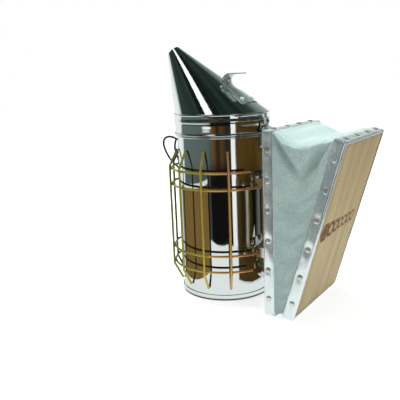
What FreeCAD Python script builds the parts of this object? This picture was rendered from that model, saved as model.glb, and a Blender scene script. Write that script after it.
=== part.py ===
import FreeCAD, Part
import math
import os
import re

import Sketcher
from FreeCAD import Placement, Rotation, Vector

# Bee smoker. The fire pot stands on the floor at the origin, +Z up. The bellows hang on its +X side,
# the spout leans towards -X, and the lid hinges at +X over the bellows. Everything is in millimetres.

DRIVING_DIMENSIONS = (
    # fire pot
    ("pot_radius", 50.0),
    ("sheet_wall", 0.8),
    ("pot_height", 186.0),
    ("stop_bead_bottom", 175.8),
    ("stop_bead_height", 2.2),
    ("stop_bead_reach", 2.2),
    ("pan_rim_height", 6.0),
    ("pan_rim_radius", 50.9),
    ("pan_edge_round", 0.7),
    # air inlet
    ("inlet_radius", 8.0),
    ("inlet_height", 24.8),
    ("inlet_start", 48.6),
    ("inlet_end", 69.0),
    # lid
    ("collar_inner_radius", 51.0),
    ("collar_wall", 0.6),
    ("collar_bottom", 178.2),
    ("collar_top", 201.0),
    ("collar_belly_radius", 66.0),
    ("collar_bead_height", 2.6),
    ("hem_height", 2.4),
    ("bead_outer_radius", 53.0),
    ("cone_base_radius", 50.95),
    ("cone_skirt", 7.0),
    ("cone_wall", 0.7),
    ("mouth_radius", 8.0),
    ("mouth_reach", 61.9),
    ("mouth_height", 267.2),
    ("mouth_tilt", 43.1),
    ("back_slope", 33.8),
    # finger hook on the back slope of the cone
    ("hook_sheet", 1.0),
    ("hook_gap", 0.05),
    ("hook_start", 17.0),
    ("hook_curl_start", 46.7),
    ("hook_curl_radius", 7.3),
    ("hook_tip", 14.5),
    ("hook_base_width", 34.0),
    ("hook_neck_width", 21.0),
    ("hook_neck_start", 40.0),
    ("hook_side_curve", 60.0),
    ("hook_rivet_station", 23.5),
    ("hook_rivet_offset", 10.0),
    # hinge
    ("pin_reach", 59.5),
    ("pin_height", 181.0),
    ("pin_radius", 1.5),
    ("pin_bore_radius", 1.55),
    ("pin_head_radius", 2.6),
    ("pin_head_height", 1.2),
    ("knuckle_radius", 2.9),
    ("knuckle_width", 13.0),
    ("lid_leaf_inner", 52.35),
    ("pot_leaf_inner", 50.05),
    ("leaf_sheet", 1.0),
    ("lid_leaf_half_width", 9.0),
    ("lid_leaf_bottom", 183.5),
    ("lid_leaf_height", 11.0),
    ("lid_tab_start", 52.8),
    ("lid_tab_height", 2.0),
    ("lid_tab_sheet", 1.2),
    ("pot_leaf_half_width", 11.0),
    ("pot_leaf_bottom", 160.0),
    ("pot_leaf_height", 13.5),
    ("ear_sheet", 1.2),
    ("ear_gap", 14.0),
    ("ear_radius", 3.2),
    ("ear_foot", 50.4),
    # wire guard
    ("guard_radius", 58.0),
    ("guard_wire", 1.25),
    ("guard_middle", 88.0),
    ("inner_hoop_offset", 35.6),
    ("outer_hoop_offset", 53.3),
    ("bar_bend_offset", 56.2),
    ("bar_end_offset", 74.5),
    ("wire_bend", 4.0),
    ("bar_radius", 60.52),
    ("bar_tip_radius", 51.3),
    ("free_hoop_start", 30.0),
    ("held_hoop_start", 17.0),
    # brackets that carry the bellows
    ("bracket_sheet", 1.2),
    ("bracket_height", 11.0),
    ("bracket_half_width", 22.1),
    ("bracket_foot_angle", 44.0),
    ("upper_bracket_middle", 128.0),
    ("lower_bracket_middle", 53.0),
    ("bracket_clearance", 0.05),
    ("wire_hole_play", 0.65),
    # bellows
    ("board_width", 117.2),
    ("board_length", 185.0),
    ("board_thickness", 10.9),
    ("back_board_outer_face", 78.9),
    ("back_board_bottom", 2.0),
    ("strip_tin", 0.45),
    ("strip_lip", 2.5),
    ("board_gap", 9.5),
    ("hinge_line_height", 3.3),
    ("open_angle", 15.9),
    ("leather_thickness", 1.2),
    ("leather_inset", 0.8),
    ("leather_clearance", 0.05),
    ("grommet_hole_radius", 4.2),
    ("grommet_tube_radius", 5.1),
    ("grommet_flange_radius", 7.0),
    ("grommet_flange", 0.9),
    ("spring_radius", 14.0),
    ("spring_wire", 0.9),
    ("spring_length", 29.0),
    ("spring_pitch", 5.0),
    ("spring_start", 92.8),
    ("spring_height", 102.0),
    # grate
    ("grate_radius", 47.5),
    ("grate_sheet", 1.0),
    ("grate_height", 34.0),
    ("grate_edge", 2.5),
    ("grate_hole_radius", 4.3),
    ("grate_inner_ring", 19.5),
    ("grate_outer_ring", 36.0),
    ("leg_width", 6.0),
    ("leg_start", 7.0),
    ("leg_reach", 17.0),
    ("leg_rivet_reach", 10.5),
    # fasteners
    ("rivet_shank", 1.2),
    ("rivet_head", 2.3),
    ("rivet_head_height", 1.4),
    ("rivet_tail", 2.0),
    ("rivet_tail_height", 0.7),
    ("wall_rivet_seat", 51.35),
    ("wall_rivet_grip", 2.25),
    ("pot_leaf_rivet_offset", 3.8),
    ("pot_leaf_rivet_height", 166.5),
    ("pot_leaf_rivet_seat", 51.1),
    ("pot_leaf_rivet_grip", 2.3),
    ("lid_leaf_rivet_offset", 5.5),
    ("lid_leaf_rivet_height", 190.5),
    ("lid_leaf_rivet_seat", 53.4),
    ("lid_leaf_rivet_grip", 3.0),
    ("hook_rivet_grip", 3.4),
    ("grate_rivet_head", 2.0),
    ("grate_rivet_head_height", 0.9),
    ("grate_rivet_grip", 2.2),
    ("screw_shank", 1.6),
    ("screw_head", 3.4),
    ("screw_head_height", 2.2),
    ("screw_length", 9.0),
    ("tack_shank", 0.7),
    ("tack_head", 2.3),
    ("tack_head_height", 0.8),
    ("tack_length", 8.0),
    # depths of the drills for the fasteners, and the gap left under their heads
    ("leaf_drill", 5.0),
    ("hook_drill", 6.0),
    ("grate_drill", 4.0),
    ("tin_drill", 2.0),
    ("seat_gap", 0.02),
)
TACKS_LONG_SIDE = 6
TACKS_SHORT_SIDE = 4
GUARD_BARS = 10
BAR_FIRST_ANGLE = 53.7
BAR_SPACING = 28.0
RIVET_ANGLE = 35.0
SCREW_OFFSET = 12.0
# A fastener's domed head ends in a small flat crown, as a share of its radius, and the dome is a
# little fuller than a circle.
CROWN_FLAT = 0.12
DOME_FULLNESS = 1.05
# The hanging hook's two wires, as (x, z) points down their middles. Both start or end on the weld.
HOOK_UPRIGHT = ((-66.5, 151), (-66.5, 160), (-69.5, 169))
HOOK_UPRIGHT_FOOT, HOOK_UPRIGHT_BEND, HOOK_LOOP_END = 121, 144, 131.5
HOOK_LOOP = (
    (-61, 167), (-69.5, 171.5), (-78.5, 170), (-83.6, 161), (-81.5, 150), (-78, 139), (-71, 133)
)
# A rolled bead is nearly half round: its arc's radius and its depth, as shares of its height.
BEAD_ARC = 0.51
BEAD_DEPTH = 0.41

doc = FreeCAD.newDocument("bee_smoker")
sheet = doc.addObject("Spreadsheet::Sheet", "dims")
for row, (alias, number) in enumerate(DRIVING_DIMENSIONS, start=1):
    sheet.set(f"A{row}", alias)
    sheet.set(f"B{row}", str(number))
    sheet.setAlias(f"B{row}", alias)
doc.recompute()
ALIASES = {alias for alias, _ in DRIVING_DIMENSIONS}
NODES = []


# ---------------------------------------------------------------- helpers


def linked(expression):
    """The expression with every driving dimension's name pointed at its cell in the sheet."""
    return re.sub(
        r"[a-z_]+", lambda m: "dims." + m.group() if m.group() in ALIASES else m.group(), str(expression)
    )


def value(expression):
    """The expression worked out with the sheet's present numbers."""
    return float(sheet.evalExpression(linked(expression)))


def bind(obj, **properties):
    """Binds properties to expressions. A double underscore in a name stands for a dot."""
    for name, expression in properties.items():
        obj.setExpression(name.replace("__", "."), linked(expression))


def node(obj, name):
    """Marks obj as one of the smoker's pieces, exported under its name."""
    obj.Label = name
    NODES.append(obj)
    return obj


def new_body(name):
    return doc.addObject("PartDesign::Body", name + "_body")


def new_sketch(body, name, plane, offset="0"):
    """A sketch on one of the body's own origin planes, moved along the plane's normal by offset."""
    sketch = body.newObject("Sketcher::SketchObject", name)
    support = next(f for f in body.Origin.OriginFeatures if f.Role == plane)
    sketch.AttachmentSupport = [(support, "")]
    sketch.MapMode = "FlatFace"
    bind(sketch, AttachmentOffset__Base__z=offset)
    return sketch


def pin_point(sketch, geometry, place, x, y):
    """Holds a point of the sketch at (x, y), both bound to the sheet."""
    for kind, expression in (("DistanceX", x), ("DistanceY", y)):
        index = sketch.addConstraint(
            Sketcher.Constraint(kind, -1, 1, geometry, place, value(expression))
        )
        sketch.setExpression(f"Constraints[{index}]", linked(expression))


def outline(sketch, corners):
    """A closed outline. A corner is (x, y), or (x, y, radius) if an arc of that radius leaves it.
    A negative radius bends the arc to the other side."""
    points = [Vector(value(c[0]), value(c[1]), 0) for c in corners]
    ends = []
    for i, corner in enumerate(corners):
        start, end = points[i], points[(i + 1) % len(points)]
        if len(corner) == 2:
            index = sketch.addGeometry(Part.LineSegment(start, end))
            ends.append((index, 1, 2))
            continue
        radius = value(corner[2])
        chord = end - start
        side = Vector(chord.y, -chord.x, 0).normalize() * math.copysign(1, radius)
        sagitta = abs(radius) - math.sqrt(radius**2 - (chord.Length / 2) ** 2)
        apex = (start + end) / 2 + side * sagitta
        # a sketch keeps its arcs counter-clockwise, so an arc that bends left is drawn backwards
        if radius > 0:
            index = sketch.addGeometry(Part.Arc(start, apex, end))
            ends.append((index, 1, 2))
        else:
            index = sketch.addGeometry(Part.Arc(end, apex, start))
            ends.append((index, 2, 1))
        constraint = sketch.addConstraint(Sketcher.Constraint("Radius", index, abs(radius)))
        sketch.setExpression(f"Constraints[{constraint}]", linked(f"abs({corner[2]})"))
    for i, corner in enumerate(corners):
        following = ends[(i + 1) % len(ends)]
        pin_point(sketch, ends[i][0], ends[i][1], corner[0], corner[1])
        sketch.addConstraint(
            Sketcher.Constraint("Coincident", ends[i][0], ends[i][2], following[0], following[1])
        )


def rectangle(sketch, x_low, y_low, x_high, y_high):
    outline(sketch, [(x_low, y_low), (x_high, y_low), (x_high, y_high), (x_low, y_high)])


def circle(sketch, x, y, radius):
    index = sketch.addGeometry(Part.Circle(Vector(value(x), value(y), 0), Vector(0, 0, 1), value(radius)))
    constraint = sketch.addConstraint(Sketcher.Constraint("Radius", index, value(radius)))
    sketch.setExpression(f"Constraints[{constraint}]", linked(radius))
    pin_point(sketch, index, 3, x, y)


def revolve(body, name, corners):
    """Turns an outline of (radius, height) corners a full turn about the vertical axis."""
    sketch = new_sketch(body, name + "_profile", "XZ_Plane")
    outline(sketch, corners)
    turned = body.newObject("PartDesign::Revolution", name)
    turned.Profile = sketch
    turned.ReferenceAxis = (sketch, ["V_Axis"])
    turned.Angle = 360
    return turned


def pad(body, name, sketch, length, midplane=False):
    made = body.newObject("PartDesign::Pad", name)
    made.Profile = sketch
    made.Midplane = midplane
    bind(made, Length=length)
    return made


def pocket(body, name, sketch, length, midplane=False, reverse=False):
    made = body.newObject("PartDesign::Pocket", name)
    made.Profile = sketch
    made.Midplane = midplane
    made.Reversed = reverse
    bind(made, Length=length)
    return made


def cut(name, base, tool):
    made = doc.addObject("Part::Cut", name + "_cut")
    made.Base = base
    made.Tool = tool
    return made


def compound(name, parts):
    made = doc.addObject("Part::Compound", name)
    made.Links = parts
    return made


def pose(position, direction):
    """Stands a shape drawn along +Z at position, pointing along direction."""
    return Placement(Vector(*position), Rotation(Vector(0, 0, 1), Vector(*direction)))


def shank_tool(name, places, radius, depth):
    """Cylinders that cut a fastener's hole at each place, from its head's underside inwards."""
    tools = []
    for number, (position, direction) in enumerate(places):
        tool = doc.addObject("Part::Cylinder", f"{name}_{number}")
        bind(tool, Radius=radius, Height=depth)
        tool.Placement = pose(position, [-d for d in direction])
        tools.append(tool)
    return compound(name, tools)


def domed_fastener(shank, length, head, head_height, tail=0.0, tail_height=0.0):
    """One fastener along +Z: a domed head above z = 0, the shank below it, and a flat upset tail."""
    rim, crown = Vector(head, 0, 0), Vector(head * CROWN_FLAT, 0, head_height)
    shoulder = Vector(head * math.cos(math.pi / 4), 0, head_height * math.sin(math.pi / 4) * DOME_FULLNESS)
    bottom = -length - tail_height
    points = [Vector(0, 0, head_height), Vector(0, 0, bottom)]
    if tail:
        points += [Vector(tail, 0, bottom), Vector(tail, 0, -length)]
        points += [Vector(shank, 0, -length)]
    else:
        points += [Vector(shank, 0, bottom)]
    points += [Vector(shank, 0, 0), rim]
    edges = [Part.LineSegment(a, b).toShape() for a, b in zip(points, points[1:])]
    edges.append(Part.Arc(rim, shoulder, crown).toShape())
    edges.append(Part.LineSegment(crown, points[0]).toShape())
    face = Part.Face(Part.Wire(edges))
    return face.revolve(Vector(0, 0, 0), Vector(0, 0, 1), 360)


def fastener_group(name, places, shape):
    """The same fastener at every place, as separate solids in one piece group."""
    solids = []
    for position, direction in places:
        one = shape.copy()
        one.Placement = pose(position, direction)
        solids.append(one)
    group = doc.addObject("Part::Feature", name)
    group.Shape = Part.Compound(solids)
    return node(group, name)


def bent_wire(points, radius, bend):
    """A round wire through the points, with every inner corner bent to the bend radius."""
    corners = [Vector(*p) for p in points]
    edges, start = [], corners[0]
    for before, corner, after in zip(corners, corners[1:], corners[2:]):
        arriving = (corner - before).normalize()
        leaving = (after - corner).normalize()
        turn = arriving.getAngle(leaving)
        run = bend * math.tan(turn / 2)
        first, last = corner - arriving * run, corner + leaving * run
        inward = (leaving - arriving).normalize()
        apex = corner + inward * (bend / math.cos(turn / 2) - bend)
        edges.append(Part.LineSegment(start, first).toShape())
        edges.append(Part.Arc(first, apex, last).toShape())
        start = last
    edges.append(Part.LineSegment(start, corners[-1]).toShape())
    section = Part.Wire(Part.makeCircle(radius, corners[0], corners[1] - corners[0]))
    return Part.Wire(edges).makePipeShell([section], True, True)


def polar(radius, angle, height):
    """A point at the given radius and height, its angle counted from +X in degrees."""
    turned = math.radians(angle)
    return radius * math.cos(turned), radius * math.sin(turned), height


# ---------------------------------------------------------------- fastener places

bracket_rivet_places = []
bracket_screw_places = []
screw_seat = value("back_board_outer_face - bracket_clearance - bracket_sheet") - 0.05
for middle in ("upper_bracket_middle", "lower_bracket_middle"):
    for side in (1, -1):
        angle = side * RIVET_ANGLE
        seat = polar(value("wall_rivet_seat"), angle, value(middle))
        bracket_rivet_places.append((seat, polar(1, angle, 0)))
        bracket_screw_places.append(((screw_seat, side * SCREW_OFFSET, value(middle)), (-1, 0, 0)))


def leaf_rivet_places(leaf):
    """The two rivets of one hinge leaf, side by side."""
    seat, height = value(leaf + "_rivet_seat"), value(leaf + "_rivet_height")
    return [((seat, side * value(leaf + "_rivet_offset"), height), (1, 0, 0)) for side in (1, -1)]


pot_leaf_rivet_places = leaf_rivet_places("pot_leaf")
lid_leaf_rivet_places = leaf_rivet_places("lid_leaf")
grate_rivet_places = [
    (polar(value("leg_rivet_reach"), angle, value("grate_height + grate_sheet + seat_gap")), (0, 0, 1))
    for angle in (0, 120, 240)
]
# The finger hook's frame: its x axis runs down the cone's back slope from the cone's base line.
HOOK_FRAME = Placement(
    Vector(value("cone_base_radius"), 0, value("collar_top")),
    Rotation(Vector(0, 1, 0), value("back_slope")),
)
hook_normal = HOOK_FRAME.Rotation.multVec(Vector(0, 0, 1))
hook_rivet_places = []
for side in (1, -1):
    seat = Vector(
        -value("hook_rivet_station"),
        side * value("hook_rivet_offset"),
        value("hook_gap + hook_sheet + seat_gap"),
    )
    hook_rivet_places.append((tuple(HOOK_FRAME.multVec(seat)), tuple(hook_normal)))

# ---------------------------------------------------------------- fire pot

WALL_CUT_DEPTH = "sheet_wall + bracket_sheet + 3"


def make_fire_pot():
    """A tube with a bead rolled out near its top, on which the lid sits."""
    body = new_body("fire_pot")
    inner, bead_top = "pot_radius - sheet_wall", "stop_bead_bottom + stop_bead_height"
    flat = f"pot_radius + stop_bead_reach - {BEAD_DEPTH} * stop_bead_height"
    revolve(
        body,
        "fire_pot_turned",
        [
            (inner, "sheet_wall"),
            ("pot_radius", "sheet_wall"),
            ("pot_radius", "stop_bead_bottom"),
            (flat, "stop_bead_bottom", f"{BEAD_ARC} * stop_bead_height"),
            (flat, bead_top),
            ("pot_radius", bead_top),
            ("pot_radius", "pot_height"),
            (inner, "pot_height"),
        ],
    )
    inlet = new_sketch(body, "inlet_hole_outline", "YZ_Plane")
    circle(inlet, "0", "inlet_height", "inlet_radius + bracket_clearance")
    pocket(body, "inlet_hole", inlet, "pot_radius + 5", reverse=True)
    places = bracket_rivet_places + pot_leaf_rivet_places
    holes = shank_tool("pot_rivet_holes", places, "rivet_shank", WALL_CUT_DEPTH)
    return node(cut("fire_pot", body, holes), "fire_pot")


def make_base_pan():
    """The pressed floor of the pot: a flat disc with its rim turned up round the tube."""
    body = new_body("base_pan")
    revolve(
        body,
        "base_pan_turned",
        [
            ("0", "0"),
            ("pan_rim_radius - pan_edge_round", "0", "pan_edge_round"),
            ("pan_rim_radius", "pan_edge_round"),
            ("pan_rim_radius", "pan_rim_height"),
            ("pot_radius", "pan_rim_height"),
            ("pot_radius", "sheet_wall"),
            ("0", "sheet_wall"),
        ],
    )
    return node(body, "base_pan")


def make_air_inlet():
    """The short tube that takes the air blast from the bellows into the pot under the grate."""
    body = new_body("air_inlet_tube")
    sketch = new_sketch(body, "inlet_ring", "YZ_Plane", "inlet_start")
    circle(sketch, "0", "inlet_height", "inlet_radius")
    circle(sketch, "0", "inlet_height", "inlet_radius - sheet_wall")
    pad(body, "inlet_tube", sketch, "inlet_end - inlet_start")
    return node(body, "air_inlet_tube")


# ---------------------------------------------------------------- lid


def make_lid_collar():
    """The lid's ring: a rolled hem, a slightly bellied wall and a bead where the cone is seamed on."""
    body = new_body("lid_collar")
    wall = "collar_inner_radius + collar_wall"
    hem = f"bead_outer_radius - {BEAD_DEPTH} * hem_height"
    bead = f"bead_outer_radius - {BEAD_DEPTH} * collar_bead_height"
    bead_bottom = "collar_top - collar_bead_height"
    revolve(
        body,
        "lid_collar_turned",
        [
            ("collar_inner_radius", "collar_bottom"),
            (hem, "collar_bottom", f"{BEAD_ARC} * hem_height"),
            (hem, "collar_bottom + hem_height"),
            (wall, "collar_bottom + hem_height", "collar_belly_radius"),
            (wall, bead_bottom),
            (bead, bead_bottom, f"{BEAD_ARC} * collar_bead_height"),
            (bead, "collar_top"),
            ("collar_inner_radius", "collar_top"),
        ],
    )
    holes = shank_tool("collar_rivet_holes", lid_leaf_rivet_places, "rivet_shank", "leaf_drill")
    return node(cut("lid_collar", body, holes), "lid_collar")


def make_spout_cone():
    """A leaning cone from the collar to the small mouth, with a skirt that fits inside the collar."""
    body = new_body("spout_cone")
    revolve(
        body,
        "cone_skirt_ring",
        [
            ("cone_base_radius - cone_wall", "collar_top - cone_skirt"),
            ("cone_base_radius", "collar_top - cone_skirt"),
            ("cone_base_radius", "collar_top"),
            ("cone_base_radius - cone_wall", "collar_top"),
        ],
    )
    for kind, inset in (("Additive", "0"), ("Subtractive", "cone_wall")):
        base = new_sketch(body, f"cone_base_{kind}", "XY_Plane", "collar_top")
        circle(base, "0", "0", f"cone_base_radius - {inset}")
        mouth = new_sketch(body, f"cone_mouth_{kind}", "XY_Plane", "mouth_height")
        mouth.AttachmentOffset = Placement(Vector(0, 0, 0), Rotation(Vector(0, 1, 0), -10))
        bind(
            mouth,
            AttachmentOffset__Base__x="-mouth_reach",
            AttachmentOffset__Base__z="mouth_height",
            AttachmentOffset__Rotation__Angle="-mouth_tilt",
        )
        circle(mouth, "0", "0", f"mouth_radius - {inset}")
        loft = body.newObject(f"PartDesign::{kind}Loft", f"cone_{kind}")
        loft.Profile = base
        loft.Sections = [mouth]
        loft.Ruled = True
    holes = shank_tool("cone_rivet_holes", hook_rivet_places, "rivet_shank", "hook_drill")
    return node(cut("spout_cone", body, holes), "spout_cone")


def make_finger_hook():
    """A wide plate on the back slope that narrows, rises and curls over into a finger rest."""
    body = new_body("finger_hook")
    under, upper = "hook_gap", "hook_gap + hook_sheet"
    middle = "(hook_gap + hook_sheet / 2 + hook_curl_radius)"
    inner, outer = "(hook_curl_radius - hook_sheet / 2)", "(hook_curl_radius + hook_sheet / 2)"

    def over(radius, run):
        """A point run past the top of the curl, where the strip leaves level with the ground."""
        return (
            f"-hook_curl_start - {radius} * sin(back_slope) + {run} * cos(back_slope)",
            f"{middle} + {radius} * cos(back_slope) + {run} * sin(back_slope)",
        )

    side = new_sketch(body, "hook_side", "XZ_Plane")
    outline(
        side,
        [
            ("-hook_start", under),
            ("-hook_start", upper),
            ("-hook_curl_start", upper, f"-{inner}"),
            over(inner, "0"),
            over(inner, "hook_tip"),
            over(outer, "hook_tip"),
            (*over(outer, "0"), outer),
            ("-hook_curl_start", under),
        ],
    )
    pad(body, "hook_strip", side, "hook_base_width", midplane=True)
    plan = new_sketch(body, "hook_waist", "XY_Plane")
    for sign in ("", "-"):
        outline(
            plan,
            [
                ("-hook_start + 1", f"{sign}(hook_base_width / 2)"),
                ("-hook_start + 1", f"{sign}(hook_base_width / 2 + 2)"),
                ("-hook_curl_start - 20", f"{sign}(hook_base_width / 2 + 2)"),
                ("-hook_curl_start - 20", f"{sign}(hook_neck_width / 2)"),
                ("-hook_neck_start", f"{sign}(hook_neck_width / 2)", f"{sign or '1 * '}hook_side_curve"),
            ],
        )
    pocket(body, "hook_waist_cut", plan, "100", midplane=True)
    body.Placement = HOOK_FRAME
    holes = shank_tool("hook_rivet_holes", hook_rivet_places, "rivet_shank", "hook_drill")
    return node(cut("finger_hook", body, holes), "finger_hook")


# ---------------------------------------------------------------- hinge


def curved_leaf(body, name, inner, half_width, bottom, height):
    """A plate bent round the pot's axis, centred on +X."""
    outer = f"({inner} + leaf_sheet)"
    sketch = new_sketch(body, name + "_plan", "XY_Plane", bottom)
    outline(
        sketch,
        [
            (f"sqrt({inner}^2 - {half_width}^2)", f"-{half_width}"),
            (f"sqrt({outer}^2 - {half_width}^2)", f"-{half_width}", outer),
            (f"sqrt({outer}^2 - {half_width}^2)", half_width),
            (f"sqrt({inner}^2 - {half_width}^2)", half_width, f"-{inner}"),
        ],
    )
    pad(body, name + "_plate", sketch, height)


def pin_bore(body, name, radius):
    sketch = new_sketch(body, name, "XZ_Plane")
    circle(sketch, "pin_reach", "pin_height", radius)
    pocket(body, name + "_cut", sketch, "60", midplane=True)


def make_lid_leaf():
    """The lid's half of the hinge: a leaf riveted on the collar and a knuckle round the pin."""
    body = new_body("lid_hinge_leaf")
    curved_leaf(
        body, "lid_leaf", "lid_leaf_inner", "lid_leaf_half_width", "lid_leaf_bottom", "lid_leaf_height"
    )
    tab = new_sketch(body, "lid_tab_side", "XZ_Plane")
    tab_top = "pin_height + knuckle_radius - 0.1"
    outline(
        tab,
        [
            ("lid_tab_start", "lid_leaf_bottom"),
            ("pin_reach", f"{tab_top} - lid_tab_sheet"),
            ("pin_reach", tab_top),
            ("lid_tab_start", "lid_leaf_bottom + lid_tab_height"),
        ],
    )
    pad(body, "lid_tab", tab, "knuckle_width", midplane=True)
    knuckle = new_sketch(body, "knuckle_end", "XZ_Plane")
    circle(knuckle, "pin_reach", "pin_height", "knuckle_radius")
    pad(body, "knuckle", knuckle, "knuckle_width", midplane=True)
    pin_bore(body, "lid_pin_bore", "pin_bore_radius")
    holes = shank_tool("lid_leaf_holes", lid_leaf_rivet_places, "rivet_shank", "leaf_drill")
    return node(cut("lid_hinge_leaf", body, holes), "lid_hinge_leaf")


def make_pot_leaf():
    """The pot's half of the hinge: a leaf riveted under the bead and two ears that hold the pin."""
    body = new_body("pot_hinge_leaf")
    curved_leaf(
        body, "pot_leaf", "pot_leaf_inner", "pot_leaf_half_width", "pot_leaf_bottom", "pot_leaf_height"
    )
    ears = new_sketch(body, "ear_side", "XZ_Plane")
    leaf_top = "pot_leaf_bottom + pot_leaf_height"
    outline(
        ears,
        [
            ("ear_foot", "pot_leaf_bottom + 3"),
            ("pin_reach + ear_radius * cos(22)", "pin_height - ear_radius * sin(22)", "ear_radius"),
            ("pin_reach - ear_radius * cos(32)", "pin_height + ear_radius * sin(32)"),
            ("ear_foot", f"{leaf_top} - 0.5"),
        ],
    )
    pad(body, "ears", ears, "ear_gap + 2 * ear_sheet", midplane=True)
    between = new_sketch(body, "between_ears", "XZ_Plane")
    leaf_face = "pot_leaf_inner + leaf_sheet + 0.01"
    rectangle(between, leaf_face, "pot_leaf_bottom", "pin_reach + 10", "pin_height + 10")
    pocket(body, "ear_gap_cut", between, "ear_gap", midplane=True)
    pin_bore(body, "ear_pin_bore", "pin_radius")
    holes = shank_tool("pot_leaf_holes", pot_leaf_rivet_places, "rivet_shank", "leaf_drill")
    return node(cut("pot_hinge_leaf", body, holes), "pot_hinge_leaf")


def make_hinge_pin():
    """The pin through the ears, with a head at each end."""
    half = "(ear_gap / 2 + ear_sheet + bracket_clearance)"
    parts = []
    for name, radius, start, length in (
        ("pin_shaft", "pin_radius", f"-{half}", f"2 * {half}"),
        ("pin_near_head", "pin_head_radius", f"-{half} - pin_head_height", "pin_head_height"),
        ("pin_far_head", "pin_head_radius", half, "pin_head_height"),
    ):
        piece = doc.addObject("Part::Cylinder", name)
        piece.Placement = Placement(Vector(0, 0, 0), Rotation(Vector(1, 0, 0), -90))
        bind(
            piece,
            Radius=radius,
            Height=length,
            Placement__Base__x="pin_reach",
            Placement__Base__y=start,
            Placement__Base__z="pin_height",
        )
        parts.append(piece)
    pin = doc.addObject("Part::MultiFuse", "hinge_pin_fused")
    pin.Shapes = parts
    return node(pin, "hinge_pin")


# ---------------------------------------------------------------- guard


def hoop(name, offset, start):
    """A level wire round the pot, open towards the bellows."""
    ring = doc.addObject("Part::Torus", name)
    ring.Placement = Placement(Vector(0, 0, 0), Rotation(Vector(0, 0, 1), 1))
    bind(
        ring,
        Radius1="guard_radius",
        Radius2="guard_wire",
        Angle3=f"360 - 2 * {start}",
        Placement__Base__z=f"guard_middle + {offset}",
        Placement__Rotation__Angle=start,
    )
    return ring


def make_hoops():
    node(hoop("guard_hoop_top", "outer_hoop_offset", "free_hoop_start"), "guard_hoop_top")
    node(hoop("guard_hoop_upper", "inner_hoop_offset", "held_hoop_start"), "guard_hoop_upper")
    node(hoop("guard_hoop_lower", "-inner_hoop_offset", "held_hoop_start"), "guard_hoop_lower")
    node(hoop("guard_hoop_bottom", "-outer_hoop_offset", "free_hoop_start"), "guard_hoop_bottom")


def make_guard_bars():
    """Upright wires welded outside the hoops, their ends bent in until they touch the pot."""
    middle, reach = value("guard_middle"), value("bar_radius")
    path = [
        (value("bar_tip_radius"), 0, middle - value("bar_end_offset")),
        (reach, 0, middle - value("bar_bend_offset")),
        (reach, 0, middle + value("bar_bend_offset")),
        (value("bar_tip_radius"), 0, middle + value("bar_end_offset")),
    ]
    one = bent_wire(path, value("guard_wire"), value("wire_bend"))
    bars = []
    for number in range(GUARD_BARS // 2):
        for side in (1, -1):
            angle = side * (BAR_FIRST_ANGLE + number * BAR_SPACING)
            bar = one.copy()
            bar.Placement = Placement(Vector(0, 0, 0), Rotation(Vector(0, 0, 1), angle))
            bars.append(bar)
    group = doc.addObject("Part::Feature", "guard_bars")
    group.Shape = Part.Compound(bars)
    return node(group, "guard_bars")


def make_hanging_hook():
    """The wire loop opposite the bellows that hangs the smoker on the edge of a hive."""
    wire, bend = value("guard_wire"), value("wire_bend")
    weld = -value("guard_radius + 2 * guard_wire + bracket_clearance")
    upright = [(weld, 0, HOOK_UPRIGHT_FOOT), (weld, 0, HOOK_UPRIGHT_BEND)]
    upright += [(x, 0, z) for x, z in HOOK_UPRIGHT]
    loop = [(x, 0, z) for x, z in HOOK_LOOP] + [(weld, 0, HOOK_LOOP_END)]
    hook = doc.addObject("Part::Feature", "hanging_hook")
    hook.Shape = bent_wire(upright, wire, bend).fuse(bent_wire(loop, wire, bend))
    return node(hook, "hanging_hook")


# ---------------------------------------------------------------- brackets


def wire_hole(name, hoop_offset):
    """A drill across both arms of a bracket, where a guard hoop passes through them."""
    drill = doc.addObject("Part::Cylinder", name)
    drill.Placement = Placement(Vector(0, 0, 0), Rotation(Vector(1, 0, 0), -90))
    bind(
        drill,
        Radius="guard_wire + wire_hole_play",
        Height="2 * bracket_half_width + 4",
        Placement__Base__x="sqrt(guard_radius^2 - (bracket_half_width - bracket_sheet / 2)^2)",
        Placement__Base__y="-bracket_half_width - 2",
        Placement__Base__z=f"guard_middle + {hoop_offset}",
    )
    return drill


def make_bracket(name, middle, hoop_offset):
    """A strap: two curved feet on the pot, two arms, and a web that lies on the bellows board."""
    body = new_body(name)
    plan = new_sketch(body, name + "_plan", "XY_Plane", f"{middle} - bracket_height / 2")
    inner = "pot_leaf_inner"
    outer = "(pot_leaf_inner + bracket_sheet)"
    arm_out, arm_in = "bracket_half_width", "(bracket_half_width - bracket_sheet)"
    web_out = "back_board_outer_face - bracket_clearance"
    web_in = f"{web_out} - bracket_sheet"
    foot = "bracket_foot_angle"
    outline(
        plan,
        [
            (f"{outer} * cos({foot})", f"-{outer} * sin({foot})", outer),
            (f"sqrt({outer}^2 - {arm_out}^2)", f"-{arm_out}"),
            (web_out, f"-{arm_out}"),
            (web_out, arm_out),
            (f"sqrt({outer}^2 - {arm_out}^2)", arm_out, outer),
            (f"{outer} * cos({foot})", f"{outer} * sin({foot})"),
            (f"{inner} * cos({foot})", f"{inner} * sin({foot})", f"-{inner}"),
            (f"sqrt({inner}^2 - {arm_in}^2)", arm_in),
            (web_in, arm_in),
            (web_in, f"-{arm_in}"),
            (f"sqrt({inner}^2 - {arm_in}^2)", f"-{arm_in}", f"-{inner}"),
            (f"{inner} * cos({foot})", f"-{inner} * sin({foot})"),
        ],
    )
    pad(body, name + "_strap", plan, "bracket_height")
    near = [p for p in bracket_rivet_places if abs(p[0][2] - value(middle)) < 1]
    screws = [p for p in bracket_screw_places if abs(p[0][2] - value(middle)) < 1]
    tools = [
        shank_tool(name + "_rivet_holes", near, "rivet_shank", "leaf_drill"),
        shank_tool(name + "_screw_holes", screws, "screw_shank", "leaf_drill"),
        wire_hole(name + "_wire_hole", hoop_offset),
    ]
    return node(cut(name, body, compound(name + "_openings", tools)), name)


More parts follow.
